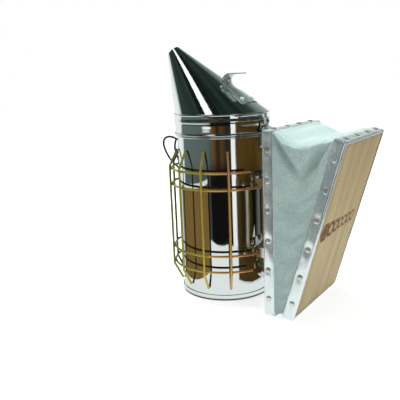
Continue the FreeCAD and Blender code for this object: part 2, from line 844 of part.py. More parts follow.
# ---------------------------------------------------------------- bellows
# A board is drawn standing up with its inner face at x = 0, its outer face at +x and its lower edge
# on the xy plane, and then placed.

BACK_FRAME = Placement(
    Vector(value("back_board_outer_face + board_thickness"), 0, value("back_board_bottom")),
    Rotation(Vector(0, 0, 1), 180),
)
FRONT_FRAME = Placement(
    Vector(
        value("back_board_outer_face + board_thickness + board_gap"), 0, value("hinge_line_height")
    ),
    Rotation(Vector(0, 1, 0), value("open_angle")),
)


def tack_places():
    """Tacks in the middle of the board's edge, round all four sides, in the board's own frame."""
    half, length = value("board_width") / 2, value("board_length")
    middle, gap = value("board_thickness") / 2, value("seat_gap")
    places = []
    for number in range(TACKS_LONG_SIDE):
        height = length * (number + 0.6) / (TACKS_LONG_SIDE + 0.2)
        for side in (1, -1):
            places.append(((middle, side * (half + gap), height), (0, side, 0)))
    for number in range(TACKS_SHORT_SIDE):
        across = half * (2 * (number + 0.5) / TACKS_SHORT_SIDE - 1)
        places.append(((middle, across, -gap), (0, 0, -1)))
        places.append(((middle, across, length + gap), (0, 0, 1)))
    return places


def moved(places, frame):
    return [
        (tuple(frame.multVec(Vector(*p))), tuple(frame.Rotation.multVec(Vector(*d)))) for p, d in places
    ]


def make_board(prefix, frame, extra_holes, grommet_hole):
    """One bellows board, its tin edging and the tacks that hold edging and leather to it."""
    places = moved(tack_places(), frame)
    wood = new_body(prefix + "_board")
    face = new_sketch(wood, prefix + "_board_face", "YZ_Plane")
    edge = "(board_width / 2 - strip_tin)"
    rectangle(face, f"-{edge}", "strip_tin", edge, "board_length - strip_tin")
    if grommet_hole:
        circle(face, "0", "inlet_height - back_board_bottom", "grommet_tube_radius")
    pad(wood, prefix + "_board_wood", face, "board_thickness - strip_tin")
    wood.Placement = frame
    holes = [shank_tool(prefix + "_wood_tack_holes", places, "tack_shank", "tack_length")]
    if extra_holes:
        holes.append(shank_tool(prefix + "_screw_holes", extra_holes, "screw_shank", "screw_length"))
    tool = compound(prefix + "_wood_holes", holes)
    node(cut(prefix + "_board", wood, tool), prefix + "_board")

    tin = new_body(prefix + "_edge_strip")
    for name, inset, start, depth in (
        ("band", "strip_tin", "0", "board_thickness"),
        ("lip", "strip_lip", "board_thickness - strip_tin", "strip_tin"),
    ):
        ring = new_sketch(tin, f"{prefix}_strip_{name}", "YZ_Plane", start)
        half = f"(board_width / 2 - {inset})"
        rectangle(ring, "-board_width / 2", "0", "board_width / 2", "board_length")
        rectangle(ring, f"-{half}", inset, half, f"board_length - {inset}")
        pad(tin, f"{prefix}_strip_{name}_pad", ring, depth)
    tin.Placement = frame
    tool = shank_tool(prefix + "_tin_tack_holes", places, "tack_shank", "tin_drill")
    node(cut(prefix + "_edge_strip", tin, tool), prefix + "_edge_strip")

    tack = domed_fastener(
        value("tack_shank"), value("tack_length"), value("tack_head"), value("tack_head_height")
    )
    fastener_group(prefix + "_edge_tacks", places, tack)


def make_grommet():
    """The metal eye in the back board, with a flange on the side that faces the pot."""
    body = new_body("grommet")
    revolve(
        body,
        "grommet_turned",
        [
            ("grommet_hole_radius", "0.1"),
            ("grommet_tube_radius", "0.1"),
            ("grommet_tube_radius", "board_thickness - strip_tin + seat_gap"),
            ("grommet_flange_radius", "board_thickness - strip_tin + seat_gap", "3"),
            ("grommet_hole_radius", "board_thickness - strip_tin + grommet_flange"),
        ],
    )
    body.Placement = Placement(
        Vector(value("back_board_outer_face + board_thickness"), 0, value("inlet_height")),
        Rotation(Vector(0, 1, 0), -90),
    )
    return node(body, "grommet")


def make_leather():
    """The bellows skin: a wedge-shaped sleeve between the two boards, narrow at the bottom."""
    body = new_body("bellows_leather")
    for kind, wall in (("Additive", "0"), ("Subtractive", "leather_thickness")):
        half = f"(board_width / 2 - leather_inset - {wall})"
        inset = f"(leather_inset + {wall})"
        back_plane = "back_board_outer_face + board_thickness + leather_clearance"
        back = new_sketch(body, f"leather_back_{kind}", "YZ_Plane", back_plane)
        rectangle(
            back,
            f"-{half}",
            f"back_board_bottom + {inset}",
            half,
            f"back_board_bottom + board_length - {inset}",
        )
        front = new_sketch(body, f"leather_front_{kind}", "YZ_Plane")
        front.AttachmentOffset = Placement(Vector(0, 0, 0), Rotation(Vector(1, 0, 0), 10))
        bind(
            front,
            AttachmentOffset__Base__y="hinge_line_height",
            AttachmentOffset__Base__z=(
                "back_board_outer_face + board_thickness + board_gap - leather_clearance"
            ),
            AttachmentOffset__Rotation__Angle="open_angle",
        )
        rectangle(front, f"-{half}", inset, half, f"board_length - {inset}")
        loft = body.newObject(f"PartDesign::{kind}Loft", f"leather_{kind}")
        loft.Profile = back
        loft.Sections = [front]
        loft.Ruled = True
    return node(body, "bellows_leather")


def make_spring():
    """The coil that pushes the boards apart, square between them."""
    helix = doc.addObject("Part::Helix", "spring_line")
    helix.LocalCoord = "Right-handed"
    bind(helix, Pitch="spring_pitch", Height="spring_length", Radius="spring_radius")
    section = doc.addObject("Part::Circle", "spring_section")
    bind(section, Radius="spring_wire", Placement__Base__x="spring_radius")
    section.Placement = Placement(
        Vector(value("spring_radius"), 0, 0), Rotation(Vector(1, 0, 0), 90)
    )
    coil = doc.addObject("Part::Sweep", "spring_coil")
    coil.Sections = [section]
    coil.Spine = (helix, ["Edge1"])
    coil.Solid = True
    coil.Frenet = True
    coil.Placement = Placement(
        Vector(value("spring_start"), 0, value("spring_height")),
        Rotation(Vector(0, 1, 0), 90 + value("open_angle") / 2),
    )
    return node(coil, "bellows_spring")


# ---------------------------------------------------------------- grate


def make_grate_plate():
    """A perforated disc with its edge turned down, which holds the fuel above the air inlet."""
    body = new_body("grate_plate")
    top = "grate_height + grate_sheet"
    revolve(
        body,
        "grate_turned",
        [
            ("0", "grate_height"),
            ("grate_radius - grate_sheet", "grate_height"),
            ("grate_radius - grate_sheet", "grate_height - grate_edge"),
            ("grate_radius", "grate_height - grate_edge"),
            ("grate_radius", f"{top} - 0.6", "0.6"),
            ("grate_radius - 0.6", top),
            ("0", top),
        ],
    )
    holes = new_sketch(body, "grate_holes", "XY_Plane")
    circle(holes, "0", "0", "grate_hole_radius")
    for step in range(6):
        angle = 30 + 60 * step
        circle(
            holes,
            f"grate_inner_ring * cos({angle})",
            f"grate_inner_ring * sin({angle})",
            "grate_hole_radius",
        )
    for angle in (a for a in range(0, 360, 30) if a % 120):
        circle(
            holes,
            f"grate_outer_ring * cos({angle})",
            f"grate_outer_ring * sin({angle})",
            "grate_hole_radius",
        )
    pocket(body, "grate_perforation", holes, "grate_height + 10", reverse=True)
    shanks = shank_tool("grate_rivet_holes", grate_rivet_places, "rivet_shank", "grate_drill")
    return node(cut("grate_plate", body, shanks), "grate_plate")


def make_grate_legs():
    """Three strips riveted under the plate and bent down as legs."""
    body = new_body("grate_legs")
    side = new_sketch(body, "leg_side", "XZ_Plane")
    top = "grate_height - seat_gap"
    foot = "sheet_wall + 0.05"
    outline(
        side,
        [
            ("leg_start", top),
            ("leg_start", f"{top} - grate_sheet"),
            ("leg_reach - grate_sheet", f"{top} - grate_sheet"),
            ("leg_reach - grate_sheet", foot),
            ("leg_reach", foot),
            ("leg_reach", f"{top} - 1.5", "1.5"),
            ("leg_reach - 1.5", top),
        ],
    )
    strip = pad(body, "leg_strip", side, "leg_width", midplane=True)
    doc.recompute()
    ring = body.newObject("PartDesign::PolarPattern", "leg_pattern")
    ring.Originals = [strip]
    ring.Axis = (side, ["V_Axis"])
    ring.Angle = 360
    ring.Occurrences = 3
    body.Tip = ring
    shanks = shank_tool("leg_rivet_holes", grate_rivet_places, "rivet_shank", "grate_drill")
    return node(cut("grate_legs", body, shanks), "grate_legs")


# ---------------------------------------------------------------- assembly

make_fire_pot()
make_base_pan()
make_air_inlet()
make_lid_collar()
make_spout_cone()
make_finger_hook()
make_lid_leaf()
make_pot_leaf()
make_hinge_pin()
make_hoops()
make_guard_bars()
make_hanging_hook()
make_bracket("upper_bracket", "upper_bracket_middle", "inner_hoop_offset")
make_bracket("lower_bracket", "lower_bracket_middle", "-inner_hoop_offset")
make_board("back", BACK_FRAME, bracket_screw_places, grommet_hole=True)
make_board("front", FRONT_FRAME, [], grommet_hole=False)
make_grommet()
make_leather()
make_spring()
make_grate_plate()
make_grate_legs()


def rivet(grip, head="rivet_head", head_height="rivet_head_height"):
    """One rivet with its tail upset against the far face of the sheets it holds."""
    sizes = ("rivet_shank", grip, head, head_height, "rivet_tail", "rivet_tail_height")
    return domed_fastener(*(value(size) for size in sizes))


fastener_group("bracket_rivets", bracket_rivet_places, rivet("wall_rivet_grip"))
fastener_group("pot_hinge_rivets", pot_leaf_rivet_places, rivet("pot_leaf_rivet_grip"))
fastener_group("lid_hinge_rivets", lid_leaf_rivet_places, rivet("lid_leaf_rivet_grip"))
fastener_group("hook_rivets", hook_rivet_places, rivet("hook_rivet_grip"))
fastener_group(
    "grate_rivets",
    grate_rivet_places,
    rivet("grate_rivet_grip", "grate_rivet_head", "grate_rivet_head_height"),
)
screw_sizes = ("screw_shank", "screw_length", "screw_head", "screw_head_height")
screw = domed_fastener(*(value(size) for size in screw_sizes))
fastener_group("bracket_screws", bracket_screw_places, screw)

doc.recompute()
for obj in doc.Objects:
    if "Invalid" in obj.State or "Error" in obj.State:
        raise RuntimeError(f"{obj.Name} ({obj.Label}) failed: {obj.State}")
for piece in NODES:
    if piece.Shape.isNull() or not piece.Shape.isValid() or not piece.Shape.Solids:
        raise RuntimeError(f"{piece.Label} has no valid solid")

os.makedirs("parts", exist_ok=True)
for piece in NODES:
    piece.Shape.exportStep(os.path.join("parts", piece.Label + ".step"))
print(f"{len(NODES)} pieces written")
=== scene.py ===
import math

import bmesh
import bpy
import numpy as np
from mathutils import Matrix, Vector, noise


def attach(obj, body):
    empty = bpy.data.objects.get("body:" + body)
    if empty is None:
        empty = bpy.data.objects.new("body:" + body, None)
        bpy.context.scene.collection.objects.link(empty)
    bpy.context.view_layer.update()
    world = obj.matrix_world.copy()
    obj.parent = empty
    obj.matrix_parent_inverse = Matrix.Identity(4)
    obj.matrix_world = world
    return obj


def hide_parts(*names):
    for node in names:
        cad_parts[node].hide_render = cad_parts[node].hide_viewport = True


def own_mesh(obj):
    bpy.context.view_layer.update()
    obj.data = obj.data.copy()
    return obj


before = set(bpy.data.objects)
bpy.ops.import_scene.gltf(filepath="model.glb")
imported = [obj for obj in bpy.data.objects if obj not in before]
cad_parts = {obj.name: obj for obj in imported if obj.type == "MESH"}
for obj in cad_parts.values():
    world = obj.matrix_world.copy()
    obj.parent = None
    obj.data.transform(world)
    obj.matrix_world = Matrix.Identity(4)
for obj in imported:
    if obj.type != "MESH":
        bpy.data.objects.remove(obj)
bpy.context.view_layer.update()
scene = bpy.context.scene
MM = 0.001

# Sizes of the smoker in millimetres, as the CAD model has them.
POT_R, COLLAR_TOP, CONE_R = 50.0, 201.0, 50.95
MOUTH = np.array((-61.9, 0.0, 267.2))
MOUTH_R, MOUTH_TILT = 8.0, math.radians(43.1)
BACK_SLOPE = math.radians(33.8)
HALF_W, LENGTH, THICK = 58.6, 185.0, 10.9
OPEN = math.radians(15.9)
BACK_X, HINGE_X, HINGE_Z = 89.8, 99.3, 3.3
HIDE_CUT_X = HINGE_X - 0.45  # the hide left of here is clear of the front edging's swing
GUARD_Z, HOOP_R, BAR_R = 88.0, 58.0, 60.52


def frame_matrix(origin, angle_y, angle_z=0.0):
    turn = Matrix.Rotation(angle_z, 4, "Z") @ Matrix.Rotation(angle_y, 4, "Y")
    return np.array(Matrix.Translation(origin) @ turn)


BACK = frame_matrix((BACK_X, 0, 2.0), 0.0, math.pi)
FRONT = frame_matrix((HINGE_X, 0, HINGE_Z), OPEN)
HOOK = frame_matrix((CONE_R, 0, COLLAR_TOP), BACK_SLOPE)


# ---- material nodes


def add(tree, kind, props=None, **inputs):
    """One shader node. Inputs are named with _ for a space, or iN for the Nth."""
    node = tree.nodes.new("ShaderNode" + kind)
    for key, val in (props or {}).items():
        setattr(node, key, val)
    for key, val in inputs.items():
        numbered = key[0] == "i" and key[1:].isdigit()
        socket = node.inputs[int(key[1:])] if numbered else node.inputs[key.replace("_", " ")]
        if isinstance(val, bpy.types.NodeSocket):
            tree.links.new(val, socket)
        else:
            socket.default_value = val
    return node


def maths(tree, operation, a, b=0.0, c=0.0):
    return add(tree, "Math", {"operation": operation}, i0=a, i1=b, i2=c).outputs[0]


def remap(tree, value, low=0.0, high=1.0, to_low=0.0, to_high=1.0):
    """The value moved from one range to another, and kept inside it."""
    ends = {"From_Min": low, "From_Max": high, "To_Min": to_low, "To_Max": to_high}
    return add(tree, "MapRange", Value=value, **ends).outputs[0]


def ramp(tree, fac, stops):
    node = add(tree, "ValToRGB", Fac=fac)
    elements = node.color_ramp.elements
    while len(elements) < len(stops):
        elements.new(0.5)
    for element, (place, colour) in zip(elements, stops):
        element.position = place
        element.color = (*colour, 1.0)
    return node.outputs["Color"]


def grey(*stops):
    return [(place, (v, v, v)) for place, v in stops]


def mix(tree, fac, a, b, blend="MIX"):
    node = tree.nodes.new("ShaderNodeMix")
    node.data_type, node.blend_type = "RGBA", blend
    for socket, val in ((node.inputs[0], fac), (node.inputs[6], a), (node.inputs[7], b)):
        if isinstance(val, bpy.types.NodeSocket):
            tree.links.new(val, socket)
        elif socket.type == "RGBA":
            socket.default_value = (*val, 1.0)
        else:
            socket.default_value = val
    return node.outputs[2]


def noise_at(tree, place, scale, stretch=(1, 1, 1), detail=3.0, rough=0.5, distort=0.0):
    spot = add(tree, "Mapping", Vector=place, Scale=stretch).outputs[0]
    node = add(
        tree, "TexNoise", Vector=spot, Scale=scale, Detail=detail, Roughness=rough, Distortion=distort
    )
    return node.outputs["Fac"]


def bumped(tree, bumps):
    """A normal from several (height, distance in metres) layers."""
    normal = None
    for height, distance in bumps:
        node = add(tree, "Bump", Height=height, Distance=distance, Strength=1.0)
        if normal is not None:
            tree.links.new(normal, node.inputs["Normal"])
        normal = node.outputs[0]
    return normal


def mix_shaders(tree, fac, first, second):
    both = add(tree, "MixShader", Fac=fac)
    tree.links.new(first.outputs[0], both.inputs[1])
    tree.links.new(second.outputs[0], both.inputs[2])
    return both


def new_material(name):
    material = bpy.data.materials.new(name)
    material.use_nodes = True
    tree = material.node_tree
    shader = tree.nodes["Principled BSDF"]
    place = add(tree, "TexCoord").outputs["Object"]
    return material, tree, shader, place


def put(tree, shader, **inputs):
    for key, val in inputs.items():
        socket = shader.inputs[key.replace("_", " ")]
        if isinstance(val, bpy.types.NodeSocket):
            tree.links.new(val, socket)
        else:
            socket.default_value = val


def metal(
    name, light, dark, rough, wave=0.00022, wave_scale=16.0, lines=(60, 60, 1400), line_depth=2e-6,
    metallic=1.0, foot=0.0,
):
    """Sheet metal: cloudy colour, smudged roughness, slow waves and fine polishing lines.

    Below a foot height it is darkened by painted shade where it meets the floor.
    """
    material, tree, shader, place = new_material(name)
    cloud = noise_at(tree, place, 22.0, detail=4.0)
    colour = ramp(tree, cloud, [(0.3, dark), (0.7, light)])
    if foot:
        height = add(tree, "SeparateXYZ", Vector=place).outputs[2]
        # painted shade along the foot, where it meets the floor
        foot_painted_shade = remap(tree, height, foot * 0.6, foot, 1.0, 0.0)
        colour = mix(tree, foot_painted_shade, colour, (0.045, 0.050, 0.046))
    smudge = noise_at(tree, place, 46.0, detail=5.0, rough=0.62, distort=0.6)
    low, high = rough
    rough_value = remap(tree, smudge, 0.35, 0.75, low, high)
    scratch = noise_at(tree, place, 1.0, stretch=lines, detail=2.0)
    waves = noise_at(tree, place, wave_scale, detail=1.5)
    normal = bumped(tree, [(waves, wave), (scratch, line_depth)])
    put(tree, shader, Metallic=metallic, Base_Color=colour, Roughness=rough_value, Normal=normal)
    return material


def mirrored_darker(tree, colour, share):
    """The colour, dimmed by a share where it is seen in a mirror, in the object's own shade."""
    glossy = add(tree, "LightPath").outputs["Is Glossy Ray"]
    return mix(tree, glossy, colour, mix(tree, 1.0, colour, share, "MULTIPLY"))


def wire_metal():
    """Passivated wire, olive green opposite the bellows and copper towards them, with stains."""
    material, tree, shader, place = new_material("guard_wire")
    split = add(tree, "SeparateXYZ", Vector=place)
    side = maths(tree, "ABSOLUTE", split.outputs[1])
    angle = maths(tree, "ARCTAN2", side, split.outputs[0])
    stain = noise_at(tree, place, 60.0, detail=3.0)
    shift = maths(tree, "MULTIPLY_ADD", stain, 0.24, -0.12)
    turned = maths(tree, "ADD", maths(tree, "DIVIDE", angle, math.pi), shift)
    colour = ramp(
        tree, turned,
        [
            (0.05, (0.62, 0.30, 0.13)), (0.24, (0.68, 0.36, 0.15)), (0.36, (0.68, 0.42, 0.09)),
            (0.50, (0.58, 0.50, 0.055)), (0.66, (0.42, 0.48, 0.06)), (0.84, (0.17, 0.22, 0.05)),
            (0.97, (0.05, 0.065, 0.03)),
        ],
    )
    fine = noise_at(tree, place, 420.0, detail=3.0)
    colour = mix(tree, maths(tree, "MULTIPLY", fine, 0.30), colour, (0.16, 0.10, 0.03))
    # painted shade: the wire is dimmed where mirrors see it
    colour = mirrored_darker(tree, colour, (0.13, 0.09, 0.06))
    rough = remap(tree, fine, to_low=0.16, to_high=0.32)
    normal = bumped(tree, [(fine, 0.00003)])
    put(tree, shader, Metallic=0.70, Base_Color=colour, Roughness=rough, Normal=normal)
    return material


def board_place(tree, place, matrix):
    """Coordinates in a board's own frame: x through it, y across it, z along it, in metres."""
    inverse = Matrix(matrix.tolist()).inverted()
    spot = add(tree, "Mapping", {"vector_type": "POINT"}, Vector=place)
    spot.inputs["Rotation"].default_value = inverse.to_euler()
    spot.inputs["Location"].default_value = Vector(inverse.translation) * MM
    return spot.outputs[0]


def hexagon_ring(tree, across, along, middle, radius, stroke):
    """1 on the outline of one hexagon cell."""
    dy = maths(tree, "ABSOLUTE", maths(tree, "SUBTRACT", across, middle[0] * MM))
    dz = maths(tree, "ABSOLUTE", maths(tree, "SUBTRACT", along, middle[1] * MM))
    slanted = maths(tree, "MULTIPLY_ADD", dy, math.sqrt(3) / 2, maths(tree, "MULTIPLY", dz, 0.5))
    reach = maths(tree, "MAXIMUM", slanted, dz)
    off = maths(tree, "ABSOLUTE", maths(tree, "SUBTRACT", reach, radius * MM))
    return maths(tree, "LESS_THAN", off, stroke * MM)


def wood(name, matrix, seed, marked):
    """Flat-sawn board with bands, fibres and pores, and a burnt row of hexagon cells if marked."""
    material, tree, shader, place = new_material(name)
    spot = board_place(tree, place, matrix)
    shifted = add(tree, "Mapping", Vector=spot, Location=(seed, seed * 0.7, seed * 1.3)).outputs[0]
    bands = noise_at(tree, shifted, 1.0, stretch=(90, 85, 4.0), detail=5.0, rough=0.6, distort=0.5)
    fibre = noise_at(tree, shifted, 1.0, stretch=(900, 900, 26), detail=5.0, rough=0.65)
    pores = noise_at(tree, shifted, 1.0, stretch=(2600, 1700, 90), detail=2.0)
    cloud = noise_at(tree, shifted, 9.0, detail=2.0)
    colour = ramp(
        tree, bands,
        [
            (0.28, (0.29, 0.218, 0.103)), (0.45, (0.365, 0.287, 0.155)),
            (0.60, (0.41, 0.335, 0.188)), (0.78, (0.335, 0.255, 0.130)),
        ],
    )
    streak = ramp(tree, fibre, grey((0.30, 0.66), (0.62, 1.14)))
    colour = mix(tree, 0.8, colour, streak, "MULTIPLY")
    pore = ramp(tree, pores, grey((0.62, 1.0), (0.74, 0.55)))
    colour = mix(tree, 0.55, colour, pore, "MULTIPLY")
    colour = mix(tree, maths(tree, "MULTIPLY", cloud, 0.30), colour, (0.45, 0.345, 0.180))
    split = add(tree, "SeparateXYZ", Vector=spot)
    across, along = split.outputs[1], split.outputs[2]
    # darker wood in patches along the board's edges
    to_side = maths(tree, "SUBTRACT", HALF_W * MM, maths(tree, "ABSOLUTE", across))
    half_length = LENGTH / 2 * MM
    from_middle = maths(tree, "ABSOLUTE", maths(tree, "SUBTRACT", along, half_length))
    to_edge = maths(tree, "MINIMUM", to_side, maths(tree, "SUBTRACT", half_length, from_middle))
    edge_band = remap(tree, to_edge, 0.002, 0.010, 0.6, 0.0)
    edge_darkening = maths(tree, "MULTIPLY", edge_band, cloud)
    colour = mix(tree, edge_darkening, colour, (0.24, 0.12, 0.045))
    # painted shade: darker towards its top, which gets less light bounced up from the floor
    top_painted_shade = remap(tree, along, 0.07, 0.18, 0.0, 0.75)
    colour = mix(tree, top_painted_shade, colour, mix(tree, 1.0, colour, (0.72, 0.71, 0.66), "MULTIPLY"))
    burn = None
    if marked:
        for middle, radius, stroke in BURNT_CELLS:
            ring = hexagon_ring(tree, across, along, (middle, LENGTH / 2), radius, stroke)
            burn = ring if burn is None else maths(tree, "MAXIMUM", burn, ring)
        outer = maths(tree, "GREATER_THAN", split.outputs[0], (THICK - 1.0) * MM)
        burn = maths(tree, "MULTIPLY", burn, outer)
        uneven = remap(tree, fibre, 0.3, 0.7, 1.0, 0.82)
        burn = maths(tree, "MULTIPLY", burn, uneven)
        colour = mix(tree, burn, colour, (0.105, 0.032, 0.002))
    # painted shade: the wood is dimmed where mirrors see it
    colour = mirrored_darker(tree, colour, (0.24, 0.165, 0.040))
    rough = remap(tree, fibre, to_low=0.50, to_high=0.72)
    layers = [(fibre, 0.00010), (pores, 0.00005)]
    if marked:
        layers.append((maths(tree, "SUBTRACT", 1.0, burn), 0.0001))
    put(tree, shader, Base_Color=colour, Roughness=rough, Normal=bumped(tree, layers))
    shader.inputs["Specular IOR Level"].default_value = 0.15
    return material


def hide_material():
    """Pale grey-green hide, suede side out: speckled nap, soft blotches and a matt sheen."""
    material, tree, shader, place = new_material("bellows_hide")
    nap = noise_at(tree, place, 1700.0, detail=4.0, rough=0.7)
    fleck = noise_at(tree, place, 640.0, detail=3.0, rough=0.6)
    blotch = noise_at(tree, place, 26.0, detail=3.0)
    colour = ramp(tree, nap, [(0.34, (0.205, 0.270, 0.258)), (0.62, (0.325, 0.410, 0.394))])
    fleck_shade = ramp(tree, fleck, grey((0.34, 0.80), (0.60, 1.06)))
    colour = mix(tree, 0.75, colour, fleck_shade, "MULTIPLY")
    blotch_shade = ramp(tree, blotch, [(0.32, (0.86, 0.93, 0.95)), (0.68, (1.05, 1.04, 1.0))])
    colour = mix(tree, 0.7, colour, blotch_shade, "MULTIPLY")
    normal = bumped(tree, [(fleck, 0.00016), (nap, 0.00014)])
    put(tree, shader, Base_Color=colour, Roughness=0.93, Normal=normal)
    put(tree, shader, Sheen_Weight=0.22, Sheen_Roughness=0.5)
    shader.inputs["Specular IOR Level"].default_value = 0.12
    return material


# The burnt cells' middles across the board, radii and half strokes, in millimetres.
BURNT_CELLS = [(-39.0, 7.4, 2.1), (-39.0, 2.4, 2.4), (-23.5, 6.4, 2.0), (-9.5, 5.6, 1.6)]
BURNT_CELLS += [(middle, 5.2, 1.1) for middle in (2.5, 14.0, 25.5, 37.0)]

mirror = metal("mirror_steel", (0.83, 0.86, 0.85), (0.76, 0.79, 0.78), (0.025, 0.085))
formed = metal("formed_sheet", (0.74, 0.76, 0.76), (0.64, 0.66, 0.66), (0.06, 0.16), wave=0.00012)
satin = metal(
    "finger_hook_steel", (0.60, 0.67, 0.64), (0.50, 0.57, 0.54), (0.09, 0.15), wave=0.00004,
    lines=(200, 900, 200), line_depth=4e-7, metallic=0.81,
)
bright_rivet = metal(
    "bright_rivet", (0.95, 0.96, 0.94), (0.80, 0.81, 0.78), (0.07, 0.16), wave_scale=90.0, metallic=0.55
)
pan_steel = metal("base_pan_steel", (0.83, 0.86, 0.85), (0.76, 0.79, 0.78), (0.03, 0.09), foot=0.0026)
fastener = metal("fastener_steel", (0.80, 0.80, 0.78), (0.60, 0.59, 0.56), (0.10, 0.26), wave_scale=90.0)
tack_metal = metal(
    "tack_steel", (0.86, 0.85, 0.80), (0.46, 0.41, 0.32), (0.06, 0.20), wave_scale=120.0, metallic=0.8
)
spring_metal = metal("spring_steel", (0.50, 0.51, 0.52), (0.34, 0.35, 0.36), (0.22, 0.4))
tin = metal(
    "tin_edging", (0.88, 0.94, 0.95), (0.76, 0.83, 0.84), (0.20, 0.32), wave=0.00012, wave_scale=30.0,
    lines=(240, 240, 240), line_depth=1e-6, metallic=0.86,
)
eyelet = metal("grommet_brass", (0.72, 0.60, 0.36), (0.46, 0.38, 0.24), (0.18, 0.36), wave_scale=80.0)
grate_metal = metal("grate_steel", (0.70, 0.71, 0.72), (0.52, 0.52, 0.53), (0.08, 0.22))
wire = wire_metal()
hide = hide_material()
back_wood = wood("back_wood", BACK, 3.1, marked=False)
front_wood = wood("front_wood", FRONT, 0.4, marked=True)

MATERIAL_NODES = [
    (mirror, "fire_pot lid_collar spout_cone"),
    (pan_steel, "base_pan"),
    (formed, "air_inlet_tube upper_bracket lower_bracket lid_hinge_leaf pot_hinge_leaf"),
    (fastener, "hinge_pin bracket_screws bracket_rivets pot_hinge_rivets lid_hinge_rivets grate_rivets"),
    (satin, "finger_hook"),
    (bright_rivet, "hook_rivets"),
    (wire, "guard_hoop_top guard_hoop_upper guard_hoop_lower guard_hoop_bottom"),
    (wire, "guard_bars hanging_hook"),
    (back_wood, "back_board"),
    (front_wood, "front_board"),
    (tin, "back_edge_strip front_edge_strip"),
    (tack_metal, "back_edge_tacks front_edge_tacks"),
    (eyelet, "grommet"),
    (hide, "bellows_leather"),
    (spring_metal, "bellows_spring"),
    (grate_metal, "grate_plate grate_legs"),
]
for material, names in MATERIAL_NODES:
    for name in names.split():
        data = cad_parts[name].data
        data.materials.clear()
        data.materials.append(material)


# ---- mesh helpers


def mesh_from(name, points, faces):
    """A mesh from millimetre points."""
    mesh = bpy.data.meshes.new(name)
    mesh.from_pydata((np.asarray(points, float) * MM).tolist(), [], faces)
    return mesh


def linked(name, data):
    obj = bpy.data.objects.new(name, data)
    scene.collection.objects.link(obj)
    return obj


def applied(mesh, kind, **settings):
    """A copy of the mesh with one modifier applied."""
    obj = linked("unfinished", mesh)
    modifier = obj.modifiers.new("step", kind)
    for key, val in settings.items():
        setattr(modifier, key, val)
    evaluated = obj.evaluated_get(bpy.context.evaluated_depsgraph_get())
    result = bpy.data.meshes.new_from_object(evaluated)
    bpy.data.objects.remove(obj)
    return result


def finished(name, mesh, material, body, replaced, sharp):
    """The shaded mesh as a piece that rides on a body and stands in for the replaced nodes."""
    mesh.shade_smooth()
    if sharp is not None:
        mesh.set_sharp_from_angle(angle=math.radians(sharp))
    mesh.materials.append(material)
    obj = linked(name, mesh)
    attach(obj, body)
    if replaced:
        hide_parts(*replaced)
    return obj


def piece(name, verts, faces, material, body, slot, replaced=(), sharp=None, matrix=None):
    """A piece from millimetre points, closed and facing outwards, sharp above an angle in degrees."""
    points = np.asarray(verts, float)
    if matrix is not None:
        points = points @ matrix[:3, :3].T + matrix[:3, 3]
    mesh = mesh_from(name, points, faces)
    work = bmesh.new()
    work.from_mesh(mesh)
    bmesh.ops.remove_doubles(work, verts=work.verts, dist=1e-7)
    bmesh.ops.recalc_face_normals(work, faces=work.faces)
    work.to_mesh(mesh)
    work.free()
    return finished(name, mesh, material, body, replaced, sharp)


def grid_faces(rows, columns, wrap_rows=False, wrap_columns=False, start=0):
    faces = []
    for i in range(rows if wrap_rows else rows - 1):
        a, b = start + i * columns, start + (i + 1) % rows * columns
        for j in range(columns if wrap_columns else columns - 1):
            k = (j + 1) % columns
            faces.append((a + j, a + k, b + k, b + j))
    return faces


def closed_tube(rows, sides):
    """The faces of rows of points round a tube, with flat ends."""
    ends = [tuple(range(sides))[::-1], tuple(range((rows - 1) * sides, rows * sides))]
    return grid_faces(rows, sides, wrap_columns=True) + ends


def smooth_path(points, count):
    """Points resampled along a Catmull-Rom curve through the given ones."""
    points = np.asarray(points, float)
    ends = np.vstack([2 * points[0] - points[1], points, 2 * points[-1] - points[-2]])
    spans = len(points) - 1
    out = []
    for t in np.linspace(0, spans - 1e-9, count):
        k, f = int(t), t - int(t)
        a, b, c, d = ends[k : k + 4]
        square, cube = 2 * a - 5 * b + 4 * c - d, 3 * b - a - 3 * c + d
        out.append(0.5 * (2 * b + (c - a) * f + square * f * f + cube * f**3))
    return np.array(out)


def tube(points, radius, sides=14):
    """Vertices and faces of a round wire along the points, closed with flat ends."""
    points = np.asarray(points, float)
    tangents = np.gradient(points, axis=0)
    tangents /= np.linalg.norm(tangents, axis=1)[:, None]
    first = np.cross(tangents[0], (0, 0, 1) if abs(tangents[0][2]) < 0.9 else (1, 0, 0))
    first /= np.linalg.norm(first)
    verts = []
    for point, tangent in zip(points, tangents):
        first = first - tangent * (first @ tangent)
        first /= np.linalg.norm(first)
        second = np.cross(tangent, first)
        for k in range(sides):
            a = 2 * math.pi * k / sides
            verts.append(point + radius * (math.cos(a) * first + math.sin(a) * second))
    return verts, closed_tube(len(points), sides)


def joined(parts):
    verts, faces = [], []
    for part_verts, part_faces in parts:
        start = len(verts)
        verts.extend(part_verts)
        faces.extend(tuple(start + i for i in face) for face in part_faces)
    return verts, faces


def bell(x, middle, width):
    return math.exp(-(((x - middle) / width) ** 2))


def wobble(point, scale, seed=0.0):
    """Smooth noise between -1 and 1 at a millimetre point."""
    return noise.noise(Vector(point) / scale + Vector((seed, seed * 1.7, seed * 0.3)))


# ---- tin edging


